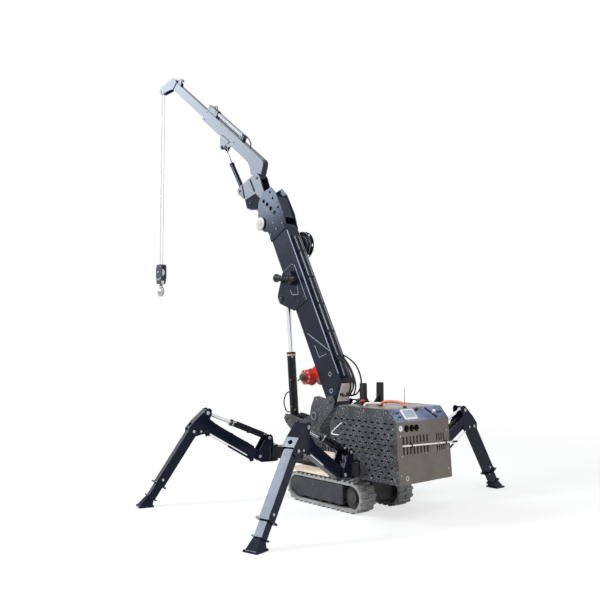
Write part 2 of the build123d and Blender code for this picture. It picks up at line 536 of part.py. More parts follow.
def barrel(name, plane, length, radius, eye_radius, pin_radius, bore_radius, cap=26.0):
    """Cylinder barrel along the plane's local x, its eye at the plane's origin."""
    foot = plane.origin
    ahead = plane.x_dir
    with BuildPart() as tube:
        with BuildSketch(Plane(origin=foot + ahead * (eye_radius - 6.0), z_dir=ahead)) as section:
            Circle(radius)
        extrude(section.sketch, amount=length - eye_radius + 6.0)
        with BuildSketch(Plane(origin=foot + ahead * (length - cap), z_dir=ahead)) as gland:
            Circle(radius + 5.0)
        extrude(gland.sketch, amount=cap)
        with BuildSketch(Plane(origin=foot + ahead * (eye_radius + 24.0), z_dir=ahead)) as bore:
            Circle(bore_radius + PIN_CLEARANCE)
        extrude(bore.sketch, amount=length, mode=Mode.SUBTRACT)
        disc(plane, (0, 0), eye_radius, radius, both=True)
        disc(plane, (0, 0), pin_radius + PIN_CLEARANCE, radius, both=True, mode=Mode.SUBTRACT)
    save(tube.part, name)


def rod(name, plane, start, eye, radius, eye_radius, eye_half, hole_radius):
    """Piston rod along the plane's local x, from inside its barrel to the eye at its end."""
    with BuildPart() as shaft:
        with BuildSketch(Plane(origin=plane.origin + plane.x_dir * start, z_dir=plane.x_dir)) as section:
            Circle(radius)
        extrude(section.sketch, amount=eye - start)
        disc(plane, (eye, 0), eye_radius, eye_half, both=True)
        disc(plane, (eye, 0), hole_radius, eye_half, both=True, mode=Mode.SUBTRACT)
    save(shaft.part, name)


luff_run = hypot(LUFF_EYE_X - LUFF_PIN_X, LUFF_EYE_Z - LUFF_PIN_Z)
luff_angle = degrees(atan2(LUFF_EYE_Z - LUFF_PIN_Z, LUFF_EYE_X - LUFF_PIN_X))
LUFF = tilted(LUFF_PIN_X, LUFF_PIN_Z, luff_angle)
barrel("luff_barrel", LUFF, LUFF_BARREL_LENGTH, LUFF_BARREL_RADIUS, 55.0, LUFF_PIN_RADIUS,
       LUFF_ROD_RADIUS)
rod("luff_rod", LUFF, LUFF_BARREL_LENGTH - 70.0, luff_run, LUFF_ROD_RADIUS, 46.0, 42.0, 24.0)

jib_eye = JIB.from_local_coords(Vector(JIB_EYE_ALONG, -JIB_EYE_BELOW, 0))
jib_run = hypot(jib_eye.X - JIB_CYLINDER_X, jib_eye.Z - JIB_CYLINDER_Z)
jib_cylinder_angle = degrees(atan2(jib_eye.Z - JIB_CYLINDER_Z, jib_eye.X - JIB_CYLINDER_X))
JIB_CYLINDER = tilted(JIB_CYLINDER_X, JIB_CYLINDER_Z, jib_cylinder_angle)
barrel("jib_barrel", JIB_CYLINDER, JIB_BARREL_LENGTH, JIB_BARREL_RADIUS, 36.0, 18.0, JIB_ROD_RADIUS)
rod("jib_rod", JIB_CYLINDER, JIB_BARREL_LENGTH - 70.0, jib_run, JIB_ROD_RADIUS, 28.0, 26.0, 15.0)

TELE_FOOT = JIB.from_local_coords(Vector(TELE_START, TELE_HEIGHT, 0))
TELE = Plane(origin=TELE_FOOT, x_dir=JIB.x_dir, z_dir=JIB.z_dir)
TELE_GLAND = 90.0
TELE_REACH = TELE_ROD_END - TELE_START
with BuildPart() as tele_barrel:
    with BuildSketch(Plane(origin=TELE.origin, z_dir=TELE.x_dir)) as section:
        Circle(TELE_RADIUS - 4.0)
    extrude(section.sketch, amount=TELE_LENGTH)
    gland_foot = TELE.origin + TELE.x_dir * (TELE_LENGTH - TELE_GLAND)
    with BuildSketch(Plane(origin=gland_foot, z_dir=TELE.x_dir)) as gland:
        Circle(TELE_RADIUS)
    extrude(gland.sketch, amount=TELE_GLAND)
    with BuildSketch(Plane(origin=TELE.origin + TELE.x_dir * 30.0, z_dir=TELE.x_dir)) as bore:
        Circle(TELE_ROD_RADIUS + PIN_CLEARANCE)
    extrude(bore.sketch, amount=TELE_LENGTH, mode=Mode.SUBTRACT)
save(tele_barrel.part, "tele_barrel")
with BuildPart() as tele_rod:
    with BuildSketch(Plane(origin=TELE.origin + TELE.x_dir * 60.0, z_dir=TELE.x_dir)) as section:
        Circle(TELE_ROD_RADIUS)
    extrude(section.sketch, amount=TELE_REACH - 60.0)
    disc(TELE, (TELE_REACH, 0), 24.0, 16.0, both=True)
save(tele_rod.part, "tele_rod")


# Winch under the boom, hose reel behind it and the work lamp
WINCH_ALONG = 440.0
WINCH_BELOW = -BOOM_BELOW - 145.0
with BuildPart() as winch:
    disc(BOOM, (WINCH_ALONG, WINCH_BELOW), 62.0, 84.0, both=True)
    twin_discs(BOOM, (WINCH_ALONG, WINCH_BELOW), 108.0, 74.0, 10.0)
    for side in (-1, 1):
        cheek = [(WINCH_ALONG - 90.0, -BOOM_BELOW), (WINCH_ALONG + 90.0, -BOOM_BELOW),
                 (WINCH_ALONG + 60.0, WINCH_BELOW - 60.0), (WINCH_ALONG - 60.0, WINCH_BELOW - 60.0)]
        outline(BOOM.offset(side * 84.0), cheek, side * 14.0)
    with BuildSketch(BOOM.offset(-98.0)) as gearbox:
        with Locations((WINCH_ALONG, WINCH_BELOW)):
            RegularPolygon(100.0, 8)
    extrude(gearbox.sketch, amount=-86.0)
    disc(BOOM.offset(-184.0), (WINCH_ALONG, WINCH_BELOW), 52.0, -26.0)
save(winch.part, "winch")

REEL = (2170.0, 205.0)
REEL_RADIUS = 186.0
REEL_HUB_RADIUS = 118.0
REEL_NEAR_Y = BOOM_HALF_WIDTH + 14.0
REEL_WIDTH = 58.0
REEL_RIM = 6.0
REEL_DEPTH = REEL_NEAR_Y - BOOM_HALF_WIDTH + REEL_WIDTH
with BuildPart() as hose_reel:
    disc(BOOM.offset(BOOM_HALF_WIDTH), REEL, REEL_HUB_RADIUS, REEL_DEPTH)
    disc(BOOM.offset(REEL_NEAR_Y), REEL, REEL_RADIUS, REEL_RIM)
    disc(BOOM.offset(REEL_NEAR_Y + REEL_WIDTH - REEL_RIM), REEL, REEL_RADIUS, REEL_RIM)
    disc(BOOM.offset(REEL_NEAR_Y + REEL_WIDTH), REEL, 34.0, 22.0)
    for index in range(6):
        turn = radians(60.0 * index)
        spot = (REEL[0] + 150.0 * cos(turn), REEL[1] + 150.0 * sin(turn))
        disc(BOOM.offset(REEL_NEAR_Y), spot, 22.0, REEL_WIDTH, mode=Mode.SUBTRACT)
save(hose_reel.part, "hose_reel")

# Work lamp held out forward beside the boom's left face
LAMP_FACE_Y = BOOM_HALF_WIDTH + BRACKET_THICKNESS
LAMP_Y = LAMP_FACE_Y + 60.0
LAMP_X = TRACK_X + 800.0
LAMP_Z = 2730.0
LAMP_RISE = 5.0
LAMP_LENGTH = 390.0
lamp_axis = Vector(cos(radians(LAMP_RISE)), 0, sin(radians(LAMP_RISE)))
lamp_back = Vector(LAMP_X, LAMP_Y, LAMP_Z)
with BuildPart() as work_lamp:
    mount = [(1650.0, 20.0), (1800.0, 20.0), (1800.0, 120.0), (1650.0, 120.0)]
    outline(BOOM.offset(-LAMP_FACE_Y), mount, LAMP_FACE_Y - LAMP_Y)
    with BuildSketch(Plane(origin=lamp_back, z_dir=lamp_axis)) as body:
        Circle(30.0)
    extrude(body.sketch, amount=LAMP_LENGTH)
    with BuildSketch(Plane(origin=lamp_back + lamp_axis * (LAMP_LENGTH - 110.0), z_dir=lamp_axis)) as back:
        Circle(31.0)
    with BuildSketch(Plane(origin=lamp_back + lamp_axis * LAMP_LENGTH, z_dir=lamp_axis)) as front:
        Circle(56.0)
    loft([back.sketch, front.sketch])
save(work_lamp.part, "work_lamp")


# Hoist rope and hook
TIP_X = TIP.X
TIP_Z = TIP.Z
ROPE_TOP_Z = TIP_Z
ROPE_SPREAD = SHEAVE_RADIUS + ROPE_RADIUS + PIN_CLEARANCE
BLOCK_FLOOR_Z = HOOK_BLOCK_TOP_Z - HOOK_BLOCK_HEIGHT
BLOCK_SHEAVE_RADIUS = 65.0
with BuildPart() as hoist_rope:
    for side in (-1, 1):
        disc(Plane.XY.offset(HOOK_BLOCK_TOP_Z), (TIP_X + side * ROPE_SPREAD, 0), ROPE_RADIUS,
             ROPE_TOP_Z - HOOK_BLOCK_TOP_Z)
save(hoist_rope.part, "hoist_rope")
with BuildPart() as hook_block:
    high = HOOK_BLOCK_TOP_Z
    wide = HOOK_BLOCK_HALF_WIDTH
    block = [(TIP_X - wide + 20.0, high), (TIP_X + wide - 20.0, high), (TIP_X + wide, high - 60.0),
             (TIP_X + wide, BLOCK_FLOOR_Z + 110.0), (TIP_X + 55.0, BLOCK_FLOOR_Z),
             (TIP_X - 55.0, BLOCK_FLOOR_Z),
             (TIP_X - wide, BLOCK_FLOOR_Z + 110.0), (TIP_X - wide, high - 60.0)]
    twin_plates(MIDDLE, block, 30.0, 22.0)
    bar(MIDDLE, TIP_X - 75.0, TIP_X + 75.0, high - 26.0, high, 30.0)
    disc(MIDDLE, (TIP_X, HOOK_BLOCK_TOP_Z - 130.0), BLOCK_SHEAVE_RADIUS, 30.0, both=True)
    disc(MIDDLE, (TIP_X, HOOK_BLOCK_TOP_Z - 130.0), 20.0, 58.0, both=True)
    bar(MIDDLE, TIP_X - 45.0, TIP_X + 45.0, BLOCK_FLOOR_Z, BLOCK_FLOOR_Z + 60.0, 30.0)
    disc(Plane.XY.offset(BLOCK_FLOOR_Z), (TIP_X, 0), 18.0 + PIN_CLEARANCE, 60.0, mode=Mode.SUBTRACT)
save(hook_block.part, "hook_block")
HOOK_WIRE = 20.0
HOOK_BOWL = 62.0
bowl_z = HOOK_LOWEST_Z + HOOK_WIRE + HOOK_BOWL
with BuildPart() as hook:
    disc(Plane.XY.offset(BLOCK_FLOOR_Z - 60.0), (TIP_X, 0), 18.0, 116.0)
    with BuildSketch(Plane(origin=(TIP_X, 0, bowl_z), x_dir=(1, 0, 0), z_dir=(0, -1, 0))) as bowl:
        Circle(HOOK_BOWL + HOOK_WIRE)
        with Locations((6.0, 8.0)):
            Circle(HOOK_BOWL - HOOK_WIRE, mode=Mode.SUBTRACT)
        with Locations((HOOK_BOWL + HOOK_WIRE, 55.0)):
            Rectangle(120.0, 90.0, mode=Mode.SUBTRACT)
        with Locations((0, HOOK_BOWL + 20.0)):
            Rectangle(44.0, 60.0)
    extrude(bowl.sketch, amount=HOOK_WIRE, both=True)
save(hook.part, "hook")


# Hood: side panels, rear panel, bent top sheet, floor and the engine inside
def inset(points, thickness):
    """The same open line moved to its right by a thickness, with mitred corners."""
    moved = []
    for index, point in enumerate(points):
        normals = []
        for a, b in ((index - 1, index), (index, index + 1)):
            if a >= 0 and b < len(points):
                run = Vector(*points[b]) - Vector(*points[a])
                normals.append(Vector(run.Y, -run.X).normalized())
        middle = sum(normals[1:], normals[0]).normalized()
        corner = Vector(*point) + middle * (thickness / middle.dot(normals[0]))
        moved.append((corner.X, corner.Y))
    return moved


SHOULDER_X = HOOD_REAR_X + HOOD_LEAN
CONSOLE_X = SHOULDER_X + HOOD_CONSOLE_RUN
TOP_FRONT_X = HOOD_FRONT_X - HOOD_FRONT_CHAMFER
CHAMFER_Z = HOOD_TOP_Z - HOOD_CHAMFER_DROP
PANEL_INNER_Y = HOOD_HALF_WIDTH - PANEL_THICKNESS
PERFORATION = 46.0
PERFORATION_HEIGHT = 20.0
PERFORATION_PITCH = 95.0
PERFORATION_ROW = 57.0
PERFORATION_LOW_Z = 470.0
PERFORATION_ROWS = 11
PERFORATION_EDGE = 55.0
CUTOUT_ROOM = 15.0
FRONT_SLOPE = (HOOD_FRONT_X - HOOD_FOOT_X) / (HOOD_FRONT_BEND_Z - HOOD_BOTTOM_Z)
SHEET_LOW_Z = RAIL_TOP_Z + 6.0
SHEET_LOW_X = HOOD_FOOT_X + FRONT_SLOPE * (SHEET_LOW_Z - HOOD_BOTTOM_Z)
hood_line = [(HOOD_REAR_X, HOOD_BOTTOM_Z), (SHOULDER_X, HOOD_SHOULDER_Z), (CONSOLE_X, HOOD_TOP_Z),
             (TOP_FRONT_X, HOOD_TOP_Z), (HOOD_FRONT_X, CHAMFER_Z), (HOOD_FRONT_X, HOOD_FRONT_BEND_Z),
             (SHEET_LOW_X, SHEET_LOW_Z)]
hood_inside = inset(hood_line, PANEL_THICKNESS)
side_line = hood_line[:-1] + [(HOOD_FOOT_X, HOOD_BOTTOM_Z)]


def panel_front(z):
    """The side panel's front edge at a height."""
    if z > CHAMFER_Z:
        return HOOD_FRONT_X - (z - CHAMFER_Z) * HOOD_FRONT_CHAMFER / HOOD_CHAMFER_DROP
    if z < HOOD_FRONT_BEND_Z:
        return HOOD_FOOT_X + FRONT_SLOPE * (z - HOOD_BOTTOM_Z)
    return HOOD_FRONT_X


def perforations():
    """Places of the panel's slots, row by row, clear of its edges and of the cross beam."""
    places = []
    for row in range(PERFORATION_ROWS):
        z = PERFORATION_LOW_Z + row * PERFORATION_ROW
        x = HOOD_REAR_X + HOOD_LEAN + PERFORATION_EDGE + (row % 2) * PERFORATION_PITCH / 2
        while x < panel_front(z) - PERFORATION_EDGE:
            beside = abs(x - REAR_PIVOT_X) > CROSS_HALF_LENGTH + PERFORATION_EDGE
            if beside or z > CROSS_TOP_Z + PERFORATION_EDGE:
                places.append((x, z))
            x += PERFORATION_PITCH
    return places


def hood_side(name, side):
    """Perforated side panel, cut out for the beam that carries the rear leg."""
    plane = upright(side * PANEL_INNER_Y)
    with BuildPart() as panel:
        outline(plane, side_line, -side * PANEL_THICKNESS)
        with BuildSketch(plane) as holes:
            with Locations(*perforations()):
                SlotOverall(PERFORATION, PERFORATION_HEIGHT)
        extrude(holes.sketch, amount=-side * PANEL_THICKNESS, mode=Mode.SUBTRACT)
        reach = CROSS_HALF_LENGTH + CUTOUT_ROOM
        beam_hole = [(REAR_PIVOT_X - reach, CROSS_BOTTOM_Z - CUTOUT_ROOM),
                     (REAR_PIVOT_X + reach, CROSS_BOTTOM_Z - CUTOUT_ROOM),
                     (REAR_PIVOT_X + reach, CROSS_TOP_Z + CUTOUT_ROOM),
                     (REAR_PIVOT_X - reach, CROSS_TOP_Z + CUTOUT_ROOM)]
        outline(plane, beam_hole, -side * PANEL_THICKNESS, mode=Mode.SUBTRACT)
    save(panel.part, name)


hood_side("hood_left", 1)
hood_side("hood_right", -1)

SLOT_ROWS_Z = (757.0, 868.0)
SLOT_HEIGHT = 80.0
SLOT_WIDTH = 26.0
SLOT_PITCH = 55.0
SLOT_COUNT = 8
SLOT_MIDDLE_Y = 136.0
FINE_SLOT_WIDTH = 20.0
FINE_SLOT_PITCH = 38.0
FINE_SLOT_COUNT = 4
FINE_SLOT_MIDDLE_Y = -275.0
PORTS_Y = (270.0, 188.0, 112.0)
PORTS_Z = 991.0
PORT_RADIUS = 27.0
with BuildPart() as hood_rear:
    outline(MIDDLE, [hood_line[0], hood_line[1], hood_inside[1], hood_inside[0]], PANEL_INNER_Y, both=True)
    with BuildSketch(Plane(origin=(HOOD_REAR_X, 0, 0), x_dir=(0, 1, 0), z_dir=(1, 0, 0))) as slots:
        for row in SLOT_ROWS_Z:
            with Locations((SLOT_MIDDLE_Y, row)):
                with GridLocations(SLOT_PITCH, 1.0, SLOT_COUNT, 1):
                    Rectangle(SLOT_WIDTH, SLOT_HEIGHT)
            with Locations((FINE_SLOT_MIDDLE_Y, row)):
                with GridLocations(FINE_SLOT_PITCH, 1.0, FINE_SLOT_COUNT, 1):
                    Rectangle(FINE_SLOT_WIDTH, SLOT_HEIGHT)
        for place in PORTS_Y:
            with Locations((place, PORTS_Z)):
                Circle(PORT_RADIUS)
    extrude(slots.sketch, amount=2 * HOOD_LEAN, mode=Mode.SUBTRACT)
save(hood_rear.part, "hood_rear")

with BuildPart() as hood_top:
    outline(MIDDLE, hood_line[1:] + hood_inside[:0:-1], PANEL_INNER_Y, both=True)
save(hood_top.part, "hood_top")

FLOOR_THICKNESS = 10.0
FLOOR_REAR_X = HOOD_REAR_X + PANEL_THICKNESS + 6.0
FLOOR_FRONT_X = REAR_PIVOT_X - CROSS_HALF_LENGTH - 30.0
with BuildPart() as hood_floor:
    bar(MIDDLE, FLOOR_REAR_X, FLOOR_FRONT_X, RAIL_TOP_Z, RAIL_TOP_Z + FLOOR_THICKNESS, PANEL_INNER_Y)
save(hood_floor.part, "hood_floor")

ENGINE_TOP_Z = 930.0
ENGINE_HALF_WIDTH = 250.0
with BuildPart() as engine:
    bar(MIDDLE, FLOOR_REAR_X + 70.0, FLOOR_FRONT_X - 20.0, RAIL_TOP_Z + FLOOR_THICKNESS, ENGINE_TOP_Z,
        ENGINE_HALF_WIDTH)
    disc(Plane.XY.offset(ENGINE_TOP_Z), (HOOD_REAR_X + 300.0, 120.0), 90.0, 120.0)
save(engine.part, "engine")

REST_X = TRACK_X - 390.0
REST_Y = 135.0
REST_HEIGHT = 240.0
with BuildPart() as boom_rest:
    bar(MIDDLE, REST_X - 60.0, REST_X + 60.0, HOOD_TOP_Z, HOOD_TOP_Z + 16.0, REST_Y + 60.0)
    for side in (-1, 1):
        across = Plane(origin=(REST_X, 0, HOOD_TOP_Z), x_dir=(0, side, 0), z_dir=(side, 0, 0))
        post = [(REST_Y - 25.0, 10.0), (REST_Y + 30.0, 10.0), (REST_Y + 30.0, REST_HEIGHT),
                (REST_Y - 20.0, REST_HEIGHT)]
        outline(across, post, 35.0, both=True)
        outline(across, [(REST_Y - 100.0, 10.0), (REST_Y, 10.0), (REST_Y - 10.0, 130.0)], 8.0, both=True)
save(boom_rest.part, "boom_rest")


# Legs: swing bracket, arm with its cylinder, outer leg and inner leg with the foot
EAR_INNER = ARM_HALF_WIDTH + SIDE_CLEARANCE
EAR_THICKNESS = 14.0
EAR_LOW_START = 84.0
EAR_HIGH_START = 34.0
KNEE_PIN_RADIUS = 18.0
LOCK_PIN = (KNEE_PIN[0] - 88.0, KNEE_PIN[1] - 4.0)
PLATE_LOW_Z = PIVOT_BOSS_BOTTOM_Z - PIN_CLEARANCE - BRACKET_PLATE_THICKNESS
PLATE_HIGH_Z = PIVOT_BOSS_TOP_Z + PIN_CLEARANCE


def within(plane, point, angle):
    """Plane at a point of another plane, with its local x raised by the angle."""
    turn = radians(angle)
    direction = plane.x_dir * cos(turn) + plane.y_dir * sin(turn)
    place = plane.from_local_coords(Vector(point[0], point[1], 0))
    return Plane(origin=place, x_dir=direction, z_dir=plane.z_dir)


def leg(corner, pivot_x, pivot_y, azimuth, leg_angle=LEG_ANGLE):
    """All the pieces of one leg, standing out from its swing pin."""
    turn = radians(azimuth)
    outward = (cos(turn), sin(turn), 0)
    plane = Plane(origin=(pivot_x, pivot_y, 0), x_dir=outward, z_dir=(sin(turn), -cos(turn), 0))

    with BuildPart() as bracket:
        for level in (PLATE_LOW_Z, PLATE_HIGH_Z):
            shelf = Plane(origin=(pivot_x, pivot_y, level), x_dir=outward, z_dir=(0, 0, 1))
            with BuildSketch(shelf) as floor:
                Circle(PIVOT_BOSS_RADIUS + 12.0)
                with Locations((80.0, 0)):
                    Rectangle(130.0, 2 * (EAR_INNER + EAR_THICKNESS))
            extrude(floor.sketch, amount=BRACKET_PLATE_THICKNESS)
        ear = [(EAR_LOW_START, PLATE_LOW_Z), (200.0, PLATE_LOW_Z), (258.0, 455.0), (268.0, 505.0),
               (240.0, 548.0), (134.0, 726.0), (112.0, 757.0), (68.0, 757.0), (46.0, 730.0),
               (EAR_HIGH_START, 640.0), (EAR_HIGH_START, PLATE_HIGH_Z), (EAR_LOW_START, PLATE_HIGH_Z)]
        twin_plates(plane, ear, EAR_INNER, EAR_THICKNESS)
        for pin in (ARM_PIN, ARM_CYLINDER_PIN):
            disc(plane, pin, LEG_PIN_RADIUS, EAR_INNER + EAR_THICKNESS + 8.0, both=True)
        disc(Plane.XY.offset(PLATE_LOW_Z), (pivot_x, pivot_y), PIVOT_PIN_RADIUS,
             PLATE_HIGH_Z - PLATE_LOW_Z + BRACKET_PLATE_THICKNESS)
    save(bracket.part, f"leg_bracket_{corner}")

    beam = within(plane, ARM_PIN, ARM_ANGLE)
    with BuildPart() as arm:
        bar(beam, 0, ARM_LENGTH, -ARM_DEPTH / 2, ARM_DEPTH / 2, ARM_HALF_WIDTH)
        disc(beam, (0, 0), ARM_DEPTH / 2 - 8.0, ARM_HALF_WIDTH, both=True)
        bar(beam, 110.0, ARM_LENGTH + 1.0, -ARM_DEPTH / 2 + ARM_WALL, ARM_DEPTH / 2 - ARM_WALL,
            ARM_HALF_WIDTH - ARM_WALL, mode=Mode.SUBTRACT)
        bar(beam, ARM_LENGTH - 12.0, ARM_LENGTH, -ARM_DEPTH / 2, ARM_DEPTH / 2, ARM_HALF_WIDTH)
        knee = [(848.0, 1088.0), (872.0, 1112.0), (908.0, 1106.0), (1060.0, 970.5), (1138.0, 880.5),
                (1140.0, 818.0), (1092.0, 782.0), (1030.0, 786.0), (985.0, 800.0), (930.0, 806.0),
                (860.0, 845.0), (780.0, 880.0), (800.0, 925.0), (872.0, 985.0), (850.0, 1030.0)]
        twin_plates(plane, knee, ARM_HALF_WIDTH, KNEE_PLATE_THICKNESS)
        cover = [(915.0, 1099.0), (1060.0, 970.0), (1136.0, 882.5), (1131.5, 878.6), (1055.7, 966.0),
                 (911.0, 1094.5)]
        outline(plane, cover, ARM_HALF_WIDTH, both=True)
        disc(plane, KNEE_PIN, KNEE_PIN_RADIUS, ARM_HALF_WIDTH + KNEE_PLATE_THICKNESS + 8.0, both=True)
        twin_discs(plane, LOCK_PIN, 14.0, ARM_HALF_WIDTH + KNEE_PLATE_THICKNESS, 8.0)
        twin_discs(plane, ARM_EYE, 26.0, ARM_HALF_WIDTH + KNEE_PLATE_THICKNESS, 8.0)
        disc(beam, (0, 0), LEG_PIN_RADIUS + PIN_CLEARANCE, ARM_HALF_WIDTH, both=True, mode=Mode.SUBTRACT)
    save(arm.part, f"leg_arm_{corner}")

    run = hypot(ARM_EYE[0] - ARM_CYLINDER_PIN[0], ARM_EYE[1] - ARM_CYLINDER_PIN[1])
    lift = degrees(atan2(ARM_EYE[1] - ARM_CYLINDER_PIN[1], ARM_EYE[0] - ARM_CYLINDER_PIN[0]))
    stroke = within(plane, ARM_CYLINDER_PIN, lift)
    barrel(f"leg_barrel_{corner}", stroke, LEG_BARREL_LENGTH, LEG_BARREL_RADIUS, 38.0, LEG_PIN_RADIUS,
           LEG_ROD_RADIUS)
    rod(f"leg_rod_{corner}", stroke, LEG_BARREL_LENGTH - 60.0, run, LEG_ROD_RADIUS, LEG_EYE_RADIUS,
        EYE_HALF_WIDTH, 17.0)

    shin = within(plane, KNEE_PIN, -leg_angle)
    with BuildPart() as tube:
        bar(shin, LEG_TOP, LEG_COLLAR + 4.0, -LEG_DEPTH / 2, LEG_DEPTH / 2, LEG_HALF_WIDTH)
        collar_end = LEG_COLLAR + LEG_COLLAR_THICKNESS
        collar_half = LEG_DEPTH / 2 + LEG_COLLAR_RIM
        bar(shin, LEG_COLLAR, collar_end, -collar_half, collar_half, LEG_HALF_WIDTH + LEG_COLLAR_RIM)
        bar(shin, 70.0, LEG_COLLAR, LEG_WALL - LEG_DEPTH / 2, LEG_DEPTH / 2 - LEG_WALL,
            LEG_HALF_WIDTH - LEG_WALL, mode=Mode.SUBTRACT)
        passage = INNER_LEG_HALF + PIN_CLEARANCE
        bar(shin, LEG_COLLAR - 1.0, collar_end, -passage, passage, passage, mode=Mode.SUBTRACT)
        disc(shin, (0, 0), KNEE_PIN_RADIUS + PIN_CLEARANCE, LEG_HALF_WIDTH, both=True, mode=Mode.SUBTRACT)
    save(tube.part, f"leg_tube_{corner}")

    foot_out = KNEE_PIN[0] + KNEE_PIN[1] * cos(radians(leg_angle)) / sin(radians(leg_angle))
    with BuildPart() as foot:
        bar(shin, INNER_LEG_START, INNER_LEG_END, -INNER_LEG_HALF, INNER_LEG_HALF, INNER_LEG_HALF)
        hollow = INNER_LEG_HALF - LEG_WALL
        bar(shin, INNER_LEG_START, INNER_LEG_END - 60.0, -hollow, hollow, hollow, mode=Mode.SUBTRACT)
        flange = INNER_LEG_HALF + 18.0
        bar(shin, INNER_LEG_END - 22.0, INNER_LEG_END - 6.0, -flange, flange, flange)
        ground = Plane(origin=plane.from_local_coords(Vector(foot_out, 0, 0)), x_dir=outward, z_dir=(0, 0, 1))
        with BuildSketch(ground) as pad:
            RectangleRounded(2 * FOOT_HALF, 2 * FOOT_HALF, 12.0)
        extrude(pad.sketch, amount=FOOT_PLATE_THICKNESS)
        with BuildSketch(ground.offset(FOOT_PLATE_THICKNESS)) as low:
            Rectangle(2 * FOOT_HALF - 26.0, 2 * FOOT_HALF - 40.0)
        with BuildSketch(ground.offset(112.0)) as high:
            with Locations((-58.0, 0)):
                Rectangle(78.0, 78.0)
        loft([low.sketch, high.sketch])
    save(foot.part, f"leg_foot_{corner}")


leg("front_left", FRONT_PIVOT_X, FRONT_PIVOT_Y, LEG_AZIMUTH)
leg("front_right", FRONT_PIVOT_X, -FRONT_PIVOT_Y, -LEG_AZIMUTH)
leg("rear_left", REAR_PIVOT_X, REAR_PIVOT_Y, 180.0 - LEG_AZIMUTH)
leg("rear_right", REAR_PIVOT_X, -REAR_PIVOT_Y, REAR_RIGHT_AZIMUTH, REAR_RIGHT_LEG_ANGLE)
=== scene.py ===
"""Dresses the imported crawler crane: camera, light, materials, small pieces. Metres, +X ahead, +Z up."""
from math import cos, pi, radians, sin

import bmesh
import bpy
from mathutils import Matrix, Vector


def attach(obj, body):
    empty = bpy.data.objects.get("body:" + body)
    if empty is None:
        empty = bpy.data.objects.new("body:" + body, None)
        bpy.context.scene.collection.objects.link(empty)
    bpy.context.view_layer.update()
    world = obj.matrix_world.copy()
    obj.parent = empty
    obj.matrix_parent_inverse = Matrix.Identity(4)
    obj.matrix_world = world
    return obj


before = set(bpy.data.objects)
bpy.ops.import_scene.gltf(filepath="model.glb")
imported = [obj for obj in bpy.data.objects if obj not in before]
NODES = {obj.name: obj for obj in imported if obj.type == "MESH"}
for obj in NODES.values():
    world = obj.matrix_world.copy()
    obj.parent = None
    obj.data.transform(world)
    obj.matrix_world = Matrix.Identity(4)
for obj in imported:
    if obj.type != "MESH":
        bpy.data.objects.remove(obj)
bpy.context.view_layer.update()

CORNERS = ("front_left", "front_right", "rear_left", "rear_right")

# Stations of the CAD model
TRACK_X = -1.72496
BOOM_PIN = (0.18, 1.19)
LUFF_PIN = (1.011, 0.930)
LEFT = Vector((0, 1, 0))
UP = Vector((0, 0, 1))


class Axes:
    """A place on the model with its own directions: along, up from it, and across."""

    def __init__(self, origin, along, up, across):
        self.origin = Vector(origin)
        self.along = Vector(along)
        self.up = Vector(up)
        self.across = Vector(across)

    def at(self, u, v, w=0.0):
        return self.origin + self.along * u + self.up * v + self.across * w

    def path(self, *places):
        return [self.at(*place) for place in places]

    def level(self, w, *places):
        """Points that share one distance across."""
        return [self.at(u, v, w) for u, v in places]


def tilted(x, z, angle):
    """Axes on the machine's middle plane; across points to the left."""
    turn = radians(angle)
    return Axes((x, 0, z), (cos(turn), 0, sin(turn)), (-sin(turn), 0, cos(turn)), (0, 1, 0))


BODY = Axes((TRACK_X, 0, 0), (1, 0, 0), (0, 0, 1), (0, 1, 0))
BOOM = tilted(TRACK_X + BOOM_PIN[0], BOOM_PIN[1], 62.3)
JIB = tilted(TRACK_X + 1.622, 4.438, 37.0)


def leg_axes(pivot_x, pivot_y, azimuth):
    """Axes of a leg's upright plane: out from the swing pin, up, and across."""
    turn = radians(azimuth)
    return Axes((pivot_x, pivot_y, 0), (cos(turn), sin(turn), 0), (0, 0, 1), (sin(turn), -cos(turn), 0))


LEGS = {
    "front_left": leg_axes(TRACK_X + 0.95, 0.4, 75.5),
    "front_right": leg_axes(TRACK_X + 0.95, -0.4, -75.5),
    "rear_left": leg_axes(TRACK_X - 0.54, 0.52, 104.5),
    "rear_right": leg_axes(TRACK_X - 0.54, -0.52, -92.0),
}
SHIN_ANGLES = {"front_left": 56.3, "front_right": 56.3, "rear_left": 56.3, "rear_right": 58.06}


def inside(axes, u, v, angle):
    """Axes at a point of another, turned up by an angle in its plane."""
    turn = radians(angle)
    along = axes.along * cos(turn) + axes.up * sin(turn)
    up = axes.up * cos(turn) - axes.along * sin(turn)
    return Axes(axes.at(u, v), along, up, axes.across)


# Camera fitted to the photograph
LENS_MM = 43.52
CAMERA_PLACE = Vector((-6.3482 + TRACK_X, 6.1484, 1.8726))
CAMERA_YAW = -0.7031
CAMERA_PITCH = radians(3.57)
camera_data = bpy.data.cameras.new("camera")
camera_data.sensor_width = 36.0
camera_data.lens = LENS_MM
camera_data.clip_end = 200.0
camera = bpy.data.objects.new("camera", camera_data)
bpy.context.scene.collection.objects.link(camera)
look = Vector((cos(CAMERA_YAW) * cos(CAMERA_PITCH), sin(CAMERA_YAW) * cos(CAMERA_PITCH), sin(CAMERA_PITCH)))
camera.location = CAMERA_PLACE
camera.rotation_euler = look.to_track_quat("-Z", "Y").to_euler()
bpy.context.scene.camera = camera
bpy.context.scene.view_settings.view_transform = "Standard"


